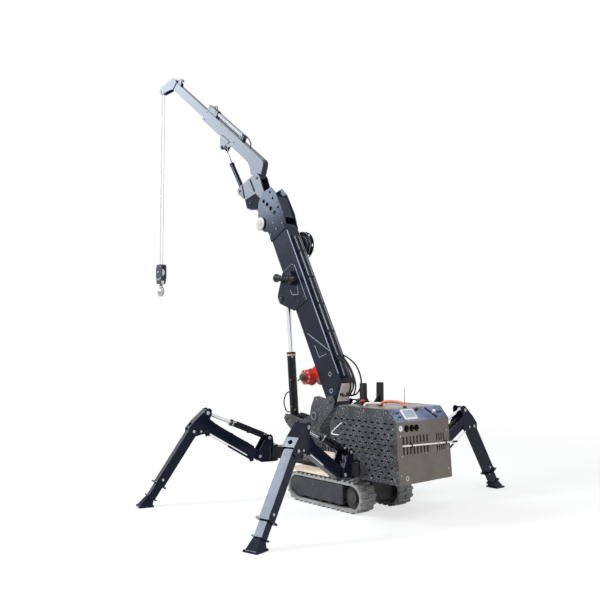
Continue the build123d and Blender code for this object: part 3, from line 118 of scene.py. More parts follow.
# Materials
class Nodes:
    """Small helper that adds and links shader nodes."""

    def __init__(self, tree):
        self.tree = tree
        self.tree.nodes.clear()

    def put(self, socket, value):
        if isinstance(value, bpy.types.NodeSocket):
            self.tree.links.new(value, socket)
        else:
            socket.default_value = value

    def math(self, operation, a, b=None, clamp=False):
        node = self.tree.nodes.new("ShaderNodeMath")
        node.operation = operation
        node.use_clamp = clamp
        self.put(node.inputs[0], a)
        if b is not None:
            self.put(node.inputs[1], b)
        return node.outputs[0]

    def ramp(self, value, low, high, to_low=0.0, to_high=1.0):
        node = self.tree.nodes.new("ShaderNodeMapRange")
        node.interpolation_type = "SMOOTHSTEP"
        self.put(node.inputs["Value"], value)
        node.inputs["From Min"].default_value = low
        node.inputs["From Max"].default_value = high
        node.inputs["To Min"].default_value = to_low
        node.inputs["To Max"].default_value = to_high
        return node.outputs["Result"]

    def noise(self, vector, scale, detail=4.0, rough=0.55):
        node = self.tree.nodes.new("ShaderNodeTexNoise")
        self.put(node.inputs["Vector"], vector)
        node.inputs["Scale"].default_value = scale
        node.inputs["Detail"].default_value = detail
        node.inputs["Roughness"].default_value = rough
        return node.outputs["Fac"]

    def mix(self, factor, a, b):
        node = self.tree.nodes.new("ShaderNodeMix")
        node.data_type = "RGBA"
        self.put(node.inputs[0], factor)
        self.put(node.inputs[6], a)
        self.put(node.inputs[7], b)
        return node.outputs[2]

    def dot(self, vector, direction):
        node = self.tree.nodes.new("ShaderNodeVectorMath")
        node.operation = "DOT_PRODUCT"
        self.put(node.inputs[0], vector)
        self.put(node.inputs[1], direction)
        return node.outputs["Value"]

    def plain(self, kind, **values):
        """Shader with its values set."""
        node = self.tree.nodes.new(kind)
        for key, value in values.items():
            node.inputs[key].default_value = value
        return node.outputs[0]

    def blend(self, factor, a, b):
        node = self.tree.nodes.new("ShaderNodeMixShader")
        for socket, value in zip(node.inputs, (factor, a, b)):
            self.put(socket, value)
        return node.outputs[0]

    def seen(self):
        """Mask of the rays that show things: straight, mirrored or let through."""
        rays = self.tree.nodes.new("ShaderNodeLightPath").outputs
        shown = self.math("MAXIMUM", rays["Is Camera Ray"], rays["Is Glossy Ray"])
        return self.math("MAXIMUM", shown, rays["Is Transmission Ray"])


def rgba(colour):
    return (colour[0], colour[1], colour[2], 1.0)


# Noise scales per metre, and other fixed values of the coatings
BROAD_SCALE = 2.3
FINE_SCALE = 38.0
PATCH_SCALE = 7.0
DUST_SCALE = 9.0
HAZE_SCALE = 4.0
SCUFF_SCALE = 26.0
GLOSS_SCALE = 12.0
GRAIN_DEPTH = 0.002
COAT_ROUGHNESS = 0.06
EDGE_SAMPLES = 4


def coating(name, colour, rough=0.35, specular=0.5, metallic=0.0, shade=0.35, speck=0.0,
            speck_colour=(0.4, 0.38, 0.35), speck_scale=190.0, speck_low=0.60, dust=0.0,
            dust_colour=(0.42, 0.36, 0.29), wear=0.25, wear_colour=(0.32, 0.33, 0.35), grain=0.12,
            grain_scale=260.0, rounding=0.004, second=None, second_colour=None, sheen=(1, 1, 1)):
    """Painted or moulded surface: uneven colour, fine specks, settled dust, worn edges and a fine grain."""
    material = bpy.data.materials.new(name)
    material.use_nodes = True
    n = Nodes(material.node_tree)
    coords = n.tree.nodes.new("ShaderNodeTexCoord")
    place = coords.outputs["Object"]
    broad = n.noise(place, BROAD_SCALE, 5.0)
    fine = n.noise(place, FINE_SCALE, 6.0, 0.6)
    base = rgba(colour)
    if second is not None:
        base = n.mix(second(n, coords.outputs["Normal"]), base, rgba(second_colour))
    dark = n.mix(1.0, base, base)
    dark.node.blend_type = "MULTIPLY"
    dark.node.inputs[7].default_value = (1 - shade, 1 - shade, 1 - shade, 1)
    uneven = n.math("ADD", n.math("MULTIPLY", broad, 0.7), n.math("MULTIPLY", fine, 0.3))
    tint = n.mix(n.ramp(uneven, 0.36, 0.62), dark, base)
    if speck > 0:
        dots = n.ramp(n.noise(place, speck_scale, 3.0, 0.7), speck_low, speck_low + 0.12)
        patch = n.ramp(n.noise(place, PATCH_SCALE, 3.0), 0.30, 0.60)
        tint = n.mix(n.math("MULTIPLY", n.math("MULTIPLY", dots, patch), speck), tint, rgba(speck_colour))
    if dust > 0:
        top = n.ramp(n.dot(coords.outputs["Normal"], (0, 0, 1)), 0.15, 0.95)
        settled = n.math("MULTIPLY", top, n.ramp(n.noise(place, DUST_SCALE, 6.0, 0.65), 0.30, 0.72))
        haze = n.math("MULTIPLY", n.ramp(n.noise(place, HAZE_SCALE, 6.0, 0.7), 0.48, 0.8), 0.45)
        tint = n.mix(n.math("MULTIPLY", n.math("MAXIMUM", settled, haze), dust), tint, rgba(dust_colour))
    bevel = n.tree.nodes.new("ShaderNodeBevel")
    bevel.samples = EDGE_SAMPLES
    bevel.inputs["Radius"].default_value = rounding
    geometry = n.tree.nodes.new("ShaderNodeNewGeometry")
    edge = n.ramp(n.dot(bevel.outputs["Normal"], geometry.outputs["Normal"]), 0.985, 0.86)
    if wear > 0:
        scuffed = n.math("MULTIPLY", edge, n.ramp(n.noise(place, SCUFF_SCALE, 5.0, 0.7), 0.40, 0.66))
        tint = n.mix(n.math("MULTIPLY", scuffed, wear), tint, rgba(wear_colour))
    bump = n.tree.nodes.new("ShaderNodeBump")
    bump.inputs["Strength"].default_value = grain
    bump.inputs["Distance"].default_value = GRAIN_DEPTH
    n.put(bump.inputs["Height"], n.noise(place, grain_scale, 3.0, 0.6))
    n.put(bump.inputs["Normal"], bevel.outputs["Normal"])
    shader = n.tree.nodes.new("ShaderNodeBsdfPrincipled")
    n.put(shader.inputs["Base Color"], tint)
    gloss = n.noise(place, GLOSS_SCALE, 5.0, 0.6)
    n.put(shader.inputs["Roughness"], n.ramp(gloss, 0.3, 0.7, rough * 0.85, rough * 1.2))
    shader.inputs["Specular IOR Level"].default_value = specular
    shader.inputs["Specular Tint"].default_value = rgba(sheen)
    shader.inputs["Coat Weight"].default_value = 0.0
    shader.inputs["Coat Roughness"].default_value = COAT_ROUGHNESS
    shader.inputs["Metallic"].default_value = metallic
    n.put(shader.inputs["Normal"], bump.outputs["Normal"])
    out = n.tree.nodes.new("ShaderNodeOutputMaterial")
    n.put(out.inputs["Surface"], shader.outputs["BSDF"])
    return material


def level_faces(n, normal):
    """Mask of the faces that look straight up."""
    return n.ramp(n.dot(normal, (0, 0, 1)), 0.86, 0.97)


BLUE_SHEEN = (0.66, 0.80, 1.0)
BLACK_GLOSS = dict(rough=0.24, specular=0.22, wear=0.35, grain=0.04, speck=0.12, sheen=BLUE_SHEEN)
boom_paint = coating("boom_paint", (0.007, 0.009, 0.019), rough=0.3, specular=0.24, dust=0.04, grain=0.04,
    speck=0.10, wear=0.6, sheen=BLUE_SHEEN)
head_paint = coating("head_paint", (0.009, 0.011, 0.022), rough=0.13, specular=0.33, speck=0.1, shade=0.2,
    grain=0.0, sheen=BLUE_SHEEN)
jib_paint = coating("jib_paint", (0.008, 0.010, 0.022), rough=0.12, specular=0.35, shade=0.15, wear=0.1,
    rounding=0.005, grain=0.0)
leg_paint = coating("leg_paint", (0.006, 0.008, 0.020), rough=0.12, specular=0.16, wear=0.5, grain=0.0,
    speck=0.06, sheen=(0.70, 0.83, 1.0))
# Pale blue-grey on the telescopic barrel is painted reflection: it stands in for the sky mirrored on its
# gloss.
tele_reflection_paint = coating("tele_reflection_paint", (0.36, 0.40, 0.46), rough=0.3, specular=0.4, shade=0.2, wear=0.2)
cylinder_paint = coating("cylinder_paint", (0.006, 0.0065, 0.010), **BLACK_GLOSS)
black_paint = coating("black_paint", (0.006, 0.0065, 0.011), **BLACK_GLOSS)
frame_paint = coating("frame_paint", (0.010, 0.010, 0.012), rough=0.45, specular=0.22, speck=0.35, dust=0.2)
turret_paint = coating("turret_paint", (0.050, 0.050, 0.056), rough=0.5, specular=0.22, speck=0.7,
    speck_colour=(0.44, 0.43, 0.43), dust=0.35, grain=0.3, speck_scale=60.0, speck_low=0.54, wear=0.6)
side_paint = coating("side_paint", (0.042, 0.044, 0.050), rough=0.5, specular=0.2, speck=0.6,
    speck_colour=(0.46, 0.47, 0.50), dust=0.10, grain=0.35, speck_scale=75.0, speck_low=0.52, wear=0.7,
    wear_colour=(0.50, 0.42, 0.33))
rear_paint = coating("rear_paint", (0.158, 0.136, 0.120), rough=0.5, specular=0.25, speck=0.25, dust=0.15,
    grain=0.15, shade=0.22, wear=0.7, wear_colour=(0.45, 0.36, 0.27))
top_paint = coating("top_paint", (0.21, 0.25, 0.38), rough=0.35, specular=0.3, speck=0.45,
    speck_colour=(0.24, 0.25, 0.30), grain=0.15, wear=0.7, wear_colour=(0.55, 0.47, 0.38),
    second=level_faces, second_colour=(0.235, 0.205, 0.185))
fender_paint = coating("fender_paint", (0.80, 0.67, 0.54), rough=0.55, specular=0.25, speck=0.5, dust=0.5,
    speck_colour=(0.62, 0.60, 0.58), dust_colour=(0.84, 0.75, 0.65))
rest_paint = coating("rest_paint", (0.008, 0.008, 0.010), rough=0.4, specular=0.22, speck=0.5, dust=0.15)
rubber = coating("rubber", (0.37, 0.37, 0.375), rough=0.8, specular=0.15, shade=0.5, speck=0.7,
    speck_colour=(0.60, 0.58, 0.55), dust=0.5, dust_colour=(0.56, 0.53, 0.49), grain=0.5, wear=0.7,
    wear_colour=(0.62, 0.60, 0.57), speck_scale=90.0)
cover_paint = coating("cover_paint", (0.040, 0.041, 0.050), rough=0.42, specular=0.25, speck=0.6, dust=0.30,
    grain=0.2, wear=0.6)
iron = coating("iron", (0.05, 0.048, 0.046), rough=0.55, specular=0.3, speck=0.5, dust=0.3, grain=0.3)
engine_paint = coating("engine_paint", (0.05, 0.05, 0.05), rough=0.5, specular=0.25, speck=0.4, dust=0.3)
red_paint = coating("red_paint", (0.52, 0.028, 0.022), rough=0.35, specular=0.4, speck=0.35, wear=0.5)
plastic = coating("plastic", (0.010, 0.010, 0.012), rough=0.45, specular=0.25, speck=0.3, wear=0.15)
hose_rubber = coating("hose_rubber", (0.009, 0.009, 0.011), rough=0.5, specular=0.25, speck=0.25, wear=0.0,
    grain=0.2)
chrome = coating("chrome", (0.78, 0.81, 0.86), rough=0.16, metallic=1.0, shade=0.12, wear=0.0, grain=0.03)
rod_steel = coating("rod_steel", (0.46, 0.49, 0.55), rough=0.25, metallic=1.0, shade=0.15, wear=0.0,
    grain=0.03)
# Near-black and very matte: painted shade for the dark inside of holes, and the black of the port grommets.
hole_shade_black = coating("hole_shade_black", (0.004, 0.004, 0.005), rough=0.9, specular=0.02, wear=0.0, grain=0.1)
# Matte near-black: on the boom head and jib root it is painted shade.
matte_black = coating("matte_black", (0.010, 0.012, 0.022), rough=0.6, specular=0.08, speck=0.1, wear=0.4)
# Pale blue for the lines along the boom's back edges: painted highlight.
edge_highlight_paint = coating("edge_highlight_paint", (0.30, 0.35, 0.45), rough=0.3, specular=0.4, shade=0.3, wear=0.2,
    grain=0.2)
steel = coating("steel", (0.56, 0.56, 0.55), rough=0.35, metallic=0.85, shade=0.35, speck=0.3, wear=0.2,
    grain=0.15)
zinc = coating("zinc", (0.50, 0.47, 0.42), rough=0.4, specular=0.4, shade=0.3, speck=0.5, wear=0.2,
    grain=0.15)
brass = coating("brass", (0.48, 0.34, 0.19), rough=0.4, metallic=0.6, shade=0.3, speck=0.3, wear=0.2)
white_paint = coating("white_paint", (0.80, 0.79, 0.76), rough=0.4, specular=0.4, shade=0.12, speck=0.2,
    wear=0.2)
screen_glass = coating("screen_glass", (0.34, 0.40, 0.52), rough=0.15, specular=0.5, shade=0.15, wear=0.0,
    grain=0.02)
green_plastic = coating("green_plastic", (0.02, 0.45, 0.20), rough=0.3, specular=0.4, shade=0.2, wear=0.0)
orange_hose = coating("orange_hose", (0.72, 0.20, 0.12), rough=0.5, specular=0.3, shade=0.25, wear=0.0,
    grain=0.1)
grey_paint = coating("grey_paint", (0.22, 0.24, 0.28), rough=0.4, specular=0.35, speck=0.4, wear=0.3)
# Pale blue-grey is painted highlight: it stands in for the light caught along weld beads and reel rims on
# glossy black.
pale_highlight_paint = coating("pale_highlight_paint", (0.19, 0.215, 0.275), rough=0.3, specular=0.4, shade=0.4, wear=0.2,
    grain=0.5)
block_paint = coating("block_paint", (0.035, 0.040, 0.062), rough=0.4, specular=0.4, speck=0.5, wear=0.6,
    wear_colour=(0.5, 0.5, 0.5))
rope_wire = coating("rope_wire", (0.50, 0.52, 0.55), rough=0.5, metallic=0.3, shade=0.2, wear=0.0, grain=0.3,
    grain_scale=420.0, rounding=0.001)


PAINTS = {}
for paint, names in ((frame_paint, "chassis hood_floor"), (fender_paint, "fenders"),
        (turret_paint, "slew_ring turret"), (boom_paint, "boom_base"), (head_paint, "boom_head"),
        (jib_paint, "jib_root jib_base jib_section"), (cylinder_paint, "luff_barrel jib_barrel"),
        (chrome, "luff_rod tele_rod"), (rod_steel, "jib_rod"), (tele_reflection_paint, "tele_barrel"),
        (red_paint, "winch"), (plastic, "hose_reel work_lamp"), (rope_wire, "hoist_rope"),
        (block_paint, "hook_block"), (steel, "hook"), (side_paint, "hood_left hood_right"),
        (rear_paint, "hood_rear"), (top_paint, "hood_top"), (engine_paint, "engine"),
        (rest_paint, "boom_rest"), (rubber, "track_belt_left track_belt_right"),
        (cover_paint, "track_frame_left track_frame_right"), (iron, "track_wheels_left track_wheels_right")):
    for name in names.split():
        PAINTS[name] = paint
LEG_PAINTS = {"bracket": leg_paint, "arm": leg_paint, "tube": leg_paint, "foot": leg_paint,
    "barrel": cylinder_paint, "rod": chrome}
for corner in CORNERS:
    for part, paint in LEG_PAINTS.items():
        PAINTS[f"leg_{part}_{corner}"] = paint
for name, node in NODES.items():
    node.data.materials.clear()
    node.data.materials.append(PAINTS[name])


# Small pieces
SHARP_ANGLE = radians(29)
SINK = 0.002


class Shape:
    """Collects the mesh of one piece."""

    def __init__(self):
        self.mesh = bmesh.new()

    def join(self, low, high):
        count = max(len(low), len(high))
        for index in range(count):
            after = (index + 1) % count
            corners = [low[index % len(low)], low[after % len(low)], high[after % len(high)],
                high[index % len(high)]]
            corners = list(dict.fromkeys(corners))
            if len(corners) > 2:
                self.mesh.faces.new(corners)

    def ring(self, middle, side, other, radius, sides):
        if radius < 1e-6:
            return [self.mesh.verts.new(middle)]
        turns = [2 * pi * index / sides for index in range(sides)]
        return [self.mesh.verts.new(middle + (side * cos(t) + other * sin(t)) * radius) for t in turns]

    def lathe(self, centre, axis, profile, sides=20, closed=False):
        """Turned (radius, height) rows along the axis: a solid with flat ends, or a ring."""
        axis = Vector(axis).normalized()
        side = axis.orthogonal().normalized()
        other = axis.cross(side)
        if not closed and profile[0][0] > 0:
            profile = [(0, profile[0][1])] + profile
        if not closed and profile[-1][0] > 0:
            profile = profile + [(0, profile[-1][1])]
        middles = [Vector(centre) + axis * height for _, height in profile]
        rings = [self.ring(middle, side, other, row[0], sides) for middle, row in zip(middles, profile)]
        for low, high in zip(rings, rings[1:]):
            self.join(low, high)
        if closed:
            self.join(rings[-1], rings[0])
        return self

    def tube(self, points, radius, sides=8, steps=6):
        """Round tube on a smooth curve through the points."""
        points = [Vector(point) for point in points]
        ends = [points[0] * 2 - points[1]] + points + [points[-1] * 2 - points[-2]]
        path = []
        for a, b, c, d in zip(ends, ends[1:], ends[2:], ends[3:]):
            for index in range(steps):
                t = index / steps
                path.append((b * 2 + (c - a) * t + (a * 2 - b * 5 + c * 4 - d) * t ** 2
                             + (b * 3 - a - c * 3 + d) * t ** 3) * 0.5)
        path.append(points[-1])
        side = (path[1] - path[0]).orthogonal().normalized()
        rings = []
        for index, place in enumerate(path):
            ahead = (path[min(index + 1, len(path) - 1)] - path[max(index - 1, 0)]).normalized()
            side = (side - ahead * side.dot(ahead)).normalized()
            rings.append(self.ring(place, side, ahead.cross(side), radius, sides))
        rings = [self.ring(path[0], side, side, 0, sides)] + rings + [self.ring(path[-1], side, side, 0,
            sides)]
        for low, high in zip(rings, rings[1:]):
            self.join(low, high)
        return self

    def slab(self, axes, outline, low, high, bevel=0.002):
        """Plate with softened edges: an outline in the axes' plane, thick from low to high across it."""
        walls = [[self.mesh.verts.new(axes.at(u, v, w)) for u, v in outline] for w in (low, high)]
        self.join(*walls)
        for wall in walls:
            self.mesh.faces.new(wall)
        edges = {edge for wall in walls for vert in wall for edge in vert.link_edges}
        bmesh.ops.recalc_face_normals(self.mesh,
            faces=list({face for edge in edges for face in edge.link_faces}))
        bmesh.ops.bevel(self.mesh, geom=list(edges), offset=bevel, segments=1, affect="EDGES")
        return self

    def bolt(self, centre, axis, radius):
        """Hexagon head on its washer, sunk a little into what it holds."""
        r = radius
        self.lathe(centre, axis, [(r * 1.7, -r * 0.2), (r * 1.7, r * 0.2), (r * 1.6, r * 0.3)], 16)
        self.lathe(centre, axis, [(r * 1.15, r * 0.2), (r * 1.15, r * 0.85), (r * 0.95, r)], 6)

    def bolt_pairs(self, axes, places, face, radius):
        """Bolts at the same places of both faces across the axes."""
        for side in (-1, 1):
            for u, v in places:
                self.bolt(axes.at(u, v, side * face), axes.across * side, radius)

    def piece(self, name, material, body, slot):
        data = bpy.data.meshes.new(name)
        bmesh.ops.recalc_face_normals(self.mesh, faces=self.mesh.faces)
        self.mesh.to_mesh(data)
        self.mesh.free()
        data.polygons.foreach_set("use_smooth", [True] * len(data.polygons))
        data.set_sharp_from_angle(angle=SHARP_ANGLE)
        data.materials.append(material)
        made = bpy.data.objects.new(name, data)
        bpy.context.scene.collection.objects.link(made)
        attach(made, body)


def rectangle(u, v, half_u, half_v):
    return [(u - half_u, v - half_v), (u + half_u, v - half_v), (u + half_u, v + half_v),
        (u - half_u, v + half_v)]


def strip(start, end, half):
    """Outline of a straight strip between two points of a plane."""
    run = (Vector(end) - Vector(start)).normalized()
    side = Vector((-run.y, run.x)) * half
    return [tuple(Vector(p) + side * s) for p, s in ((start, 1), (start, -1), (end, -1), (end, 1))]


def polar(u, v, radius, count, start=0.0):
    turns = [start + 2 * pi * index / count for index in range(count)]
    return [(u + radius * cos(t), v + radius * sin(t)) for t in turns]


# Legs
ARM_PIN = (0.218, 0.495)
ARM_CYLINDER_PIN = (0.09, 0.717)
ARM_EYE = (0.898, 1.056)
KNEE_PIN = (1.072, 0.842)
LOCK_PIN = (0.984, 0.838)
STRUT_LOW = (0.33, 0.462)
STRUT_HIGH = (0.90, 0.80)
STRUT_SIDE = 0.090
LEG_SIDE = 0.0565
ARM_FACE = 0.082
BRACKET_FACE = 0.089
ARM_ANGLE = 30.6
STROKE_ANGLE = 22.76
COLLAR_STATION = 0.715
FOOT_BOLT = 0.076
for corner in CORNERS:
    legs = LEGS[corner]
    rear = -1 if legs.across.x > 0 else 1
    beam = inside(legs, *ARM_PIN, ARM_ANGLE)
    stroke = inside(legs, *ARM_CYLINDER_PIN, STROKE_ANGLE)
    shin = inside(legs, *KNEE_PIN, -SHIN_ANGLES[corner])

    pins = Shape()
    for pin, radius in ((ARM_EYE, 0.013), (KNEE_PIN, 0.011), (LOCK_PIN, 0.008)):
        pins.bolt_pairs(legs, (pin,), ARM_FACE, radius)
    pins.piece("leg_pins_" + corner, steel, "leg_arm_" + corner, "leg")
    ears = Shape()
    ears.bolt_pairs(legs, (ARM_PIN, ARM_CYLINDER_PIN), BRACKET_FACE, 0.012)
    ears.lathe(legs.at(0, 0.617), UP, [(0.046, 0), (0.046, 0.006), (0.04, 0.011), (0.018, 0.011),
        (0.016, 0.02), (0, 0.021)], 24)
    ears.piece("leg_bracket_pins_" + corner, steel, "leg_bracket_" + corner, "leg")

    lugs = Shape()
    lugs.slab(legs, [(0.295, 0.455), (0.345, 0.435), (0.395, 0.535), (0.335, 0.545)], rear * 0.060,
        rear * 0.072)
    lugs.slab(legs, [(0.875, 0.79), (0.925, 0.775), (0.945, 0.83), (0.865, 0.865)], rear * 0.072,
        rear * 0.080)
    for end, inner in ((STRUT_LOW, 0.062), (STRUT_HIGH, 0.074)):
        lugs.lathe(legs.at(*end, rear * inner), legs.across * rear,
            [(0.009, 0), (0.009, 0.036), (0.006, 0.04)], 14)
        lugs.lathe(legs.at(*end, rear * (STRUT_SIDE - 0.011)), legs.across * rear,
            [(0.017, 0), (0.019, 0.004), (0.019, 0.018), (0.017, 0.022)], 18)
    lugs.piece("leg_strut_lugs_" + corner, leg_paint, "leg_arm_" + corner, "leg")
    low = legs.at(*STRUT_LOW, rear * STRUT_SIDE)
    run = legs.at(*STRUT_HIGH, rear * STRUT_SIDE) - low
    reach = run.length
    Shape().lathe(low, run, [(0, 0.01), (0.012, 0.012), (0.0125, 0.02), (0.0125, reach * 0.55),
        (0.010, reach * 0.56)], 16).piece("leg_strut_" + corner, leg_paint, "leg_arm_" + corner, "leg")
    Shape().lathe(low, run, [(0.006, reach * 0.54), (0.006, reach - 0.03), (0.010, reach - 0.028),
        (0.010, reach - 0.012)], 14).piece("leg_strut_rod_" + corner, chrome, "leg_arm_" + corner, "rod")

    pipes = Shape()
    for side in (-1, 1):
        pipes.tube(stroke.path((0.055, 0.020, side * 0.028), (0.075, 0.034, side * 0.034),
            (0.25, 0.034, side * 0.034), (0.46, 0.034, side * 0.034), (0.485, 0.018, side * 0.030)), 0.0065)
    pipes.lathe(stroke.at(0.258, 0), stroke.along, [(0.0350, 0), (0.0445, 0.002), (0.0445, 0.022),
        (0.0350, 0.024)], 24, True)
    pipes.piece("leg_pipes_" + corner, hose_rubber, "leg_barrel_" + corner, "cylinder")
    fittings = Shape()
    for side in (-1, 1):
        for along in (0.062, 0.482):
            fittings.lathe(stroke.at(along, 0.012, side * 0.022), stroke.up + stroke.across * side,
                [(0.011, 0), (0.011, 0.018), (0.008, 0.022), (0.008, 0.03)], 6)
    fittings.lathe(stroke.at(0.496, 0), stroke.along,
        [(0.037, 0), (0.041, 0.003), (0.041, 0.016), (0.039, 0.019), (0.039, 0.025), (0.041, 0.028),
        (0.041, 0.04), (0.037, 0.043)], 28, True)
    fittings.piece("leg_fittings_" + corner, zinc, "leg_barrel_" + corner, "cylinder")

    hoses = Shape()
    for side in (-0.022, 0.0):
        hoses.tube(beam.level(side, (0.115, 0.050), (0.14, 0.068), (0.45, 0.066), (0.74, 0.067),
            (0.775, 0.050)), 0.009)
    for along in (0.22, 0.45, 0.68):
        hoses.slab(beam, rectangle(along, 0.066, 0.010, 0.013), -0.038, 0.016)
    hoses.piece("leg_hoses_" + corner, hose_rubber, "leg_arm_" + corner, "leg")

    cover_out = (legs.along * 0.756 + legs.up * 0.655).normalized()
    # A near-black disc on the knee cover is painted shade standing for a hole.
    Shape().lathe(legs.at(1.098, 0.9262), cover_out, [(0.024, -0.002), (0.024, 0.004), (0.020, 0.005)],
        28).piece("leg_cover_hole_" + corner, hole_shade_black, "leg_arm_" + corner, "leg")
    collar = Shape()
    for v in (-0.066, 0.066):
        for w in (-0.064, 0.064):
            collar.bolt(shin.at(COLLAR_STATION, v, w), -shin.along, 0.0065)
    collar.bolt_pairs(shin, ((0.655, 0.0),), LEG_SIDE, 0.009)
    collar.piece("leg_collar_bolts_" + corner, steel, "leg_tube_" + corner, "leg")
    foot = Shape()
    lean = radians(SHIN_ANGLES[corner])
    foot_out = KNEE_PIN[0] + KNEE_PIN[1] * cos(lean) / sin(lean)
    for u in (-FOOT_BOLT, FOOT_BOLT):
        for w in (-FOOT_BOLT, FOOT_BOLT):
            foot.bolt(legs.at(foot_out + u, 0.016, w), UP, 0.006)
    for w in (-1, 1):
        foot.slab(legs, [(foot_out - 0.07, 0.012), (foot_out + 0.06, 0.012), (foot_out - 0.03, 0.10),
            (foot_out - 0.075, 0.112)], w * 0.030, w * 0.042)
    foot.piece("leg_foot_bolts_" + corner, black_paint, "leg_foot_" + corner, "leg")
    face_top = shin.at(0.899, 0.046)
    face_run = legs.at(foot_out + 0.075, 0.016) - face_top
    face_axes = Axes(face_top, face_run.normalized(), legs.across, face_run.cross(legs.across).normalized())
    Shape().slab(face_axes, [(0.003, -0.044), (0.003, 0.044), (0.138, 0.065), (0.138, -0.065)], -0.003,
        0.003, 0.001).piece("leg_foot_cover_" + corner, matte_black, "leg_foot_" + corner, "leg")

# Tracks
COVER_FACE = 0.415
SPROCKET = (-0.470, 0.175)
for hand, side in (("left", 1), ("right", -1)):
    bolts = Shape()
    for x, z, radius in ((0.177, 0.214, 0.013), (-0.28, 0.15, 0.007), (0.44, 0.15, 0.007)):
        bolts.bolt(BODY.at(x, z, side * COVER_FACE), LEFT * side, radius)
    bolts.piece("track_cover_bolts_" + hand, iron, "chassis", "track_cover")
    hub = Shape()
    hub.lathe(BODY.at(*SPROCKET, side * 0.398), LEFT * side,
        [(0.066, 0), (0.066, 0.006), (0.05, 0.010), (0.03, 0.011), (0.028, 0.016), (0.020, 0.018)], 28)
    for x, z in polar(*SPROCKET, 0.056, 8):
        hub.bolt(BODY.at(x, z, side * 0.406), LEFT * side, 0.005)
    hub.piece("track_hub_" + hand, iron, "chassis", "track_wheel")

# Rear panel and console of the hood
LEAN = Vector((0.044, 0, 0.649)).normalized()
REAR_FOOT = 0.413
REAR = Axes(BODY.at(-1.198, REAR_FOOT), LEFT, LEAN, LEFT.cross(LEAN) * -1)
RISE = Vector((0.114, 0, 0.131)).normalized()
CONSOLE = Axes(BODY.at(-1.154, 1.062), LEFT, RISE, LEFT.cross(RISE) * -1)


def rear_at(y, z, out=0.0):
    return REAR.at(y, z - REAR_FOOT, out)


GAUGE = (0.372, 0.998)
gauge_rim = Shape()
gauge_rim.lathe(rear_at(*GAUGE, -SINK), REAR.across,
    [(0.031, 0), (0.040, 0), (0.040, 0.012), (0.038, 0.016), (0.034, 0.017), (0.031, 0.013)], 32, True)
gauge_rim.slab(Axes(rear_at(*GAUGE), LEFT, LEAN, REAR.across),
    strip((-0.006, -0.006), (0.020, 0.020), 0.0018), 0.009, 0.0115, 0.0004)
for y, z in polar(*GAUGE, 0.026, 9, 0.3):
    gauge_rim.lathe(rear_at(y, z, 0.008), REAR.across, [(0.0016, 0), (0.0016, 0.0022)], 8)
gauge_rim.lathe(rear_at(*GAUGE, 0.008), REAR.across, [(0.005, 0), (0.005, 0.004), (0.003, 0.006)], 14)
gauge_rim.piece("gauge_rim", grey_paint, "chassis", "hood_rear")
Shape().lathe(rear_at(*GAUGE, -SINK), REAR.across, [(0.033, 0), (0.033, 0.011), (0.030, 0.0105)],
    28).piece("gauge_face", white_paint, "chassis", "hood_rear")
# Port grommets: black rings, with the port's hole painted as shade in their middle.
ports = Shape()
for y in (0.270, 0.188, 0.112):
    ports.lathe(rear_at(y, 0.991, -0.004), REAR.across,
        [(0.0262, 0), (0.035, 0.003), (0.035, 0.008), (0.031, 0.011), (0.0262, 0.008)], 28, True)
    ports.lathe(rear_at(y, 0.991, -0.012), REAR.across,
        [(0.027, 0), (0.027, 0.004), (0.012, 0.006), (0.010, 0.013), (0, 0.014)], 24)
ports.piece("port_grommets", hole_shade_black, "chassis", "hood_rear")
bar_ends = [rear_at(0.335, 0.812, -0.004), rear_at(0.32, 0.813, 0.012), rear_at(0.0, 0.805, 0.013),
    rear_at(-0.30, 0.797, 0.013), rear_at(-0.47, 0.793, 0.013)]
Shape().tube(bar_ends, 0.0095, 12).piece("rear_bar", white_paint, "chassis", "hood_rear")
bar_clips = Shape()
for y in (0.22, -0.35):
    bar_clips.slab(Axes(rear_at(y, 0.805 + 0.025 * y), LEFT, LEAN, REAR.across),
        rectangle(0, 0, 0.012, 0.022), -0.004, 0.0245)
bar_clips.lathe(rear_at(-0.462, 0.793, 0.013), bar_ends[-1] - bar_ends[-2],
    [(0.0105, 0), (0.0115, 0.004), (0.0115, 0.085), (0.009, 0.092), (0, 0.093)], 16)
bar_clips.piece("rear_bar_clips", plastic, "chassis", "hood_rear")
bar_clamp = Shape()
bar_clamp.slab(Axes(rear_at(-0.22, 0.80), LEFT, LEAN, REAR.across), rectangle(0, 0, 0.026, 0.018), -0.004,
    0.020, 0.004)
bar_clamp.bolt(rear_at(-0.22, 0.80, 0.020), REAR.across, 0.0045)
bar_clamp.piece("rear_bar_clamp", grey_paint, "chassis", "hood_rear")
rear_bolts = Shape()
for y, z in ((0.373, 0.915), (0.359, 0.705), (-0.03, 0.71), (-0.39, 0.93), (-0.40, 0.73), (-0.385, 0.51),
        (0.39, 0.51)):
    rear_bolts.bolt(rear_at(y, z), REAR.across, 0.006)
rear_bolts.lathe(rear_at(0.299, 0.475, -0.0058), REAR.across,
    [(0.030, 0), (0.030, 0.005), (0.026, 0.0075), (0.018, 0.0075), (0.015, 0.0055)], 28)
rear_bolts.piece("rear_panel_bolts", zinc, "chassis", "hood_rear")

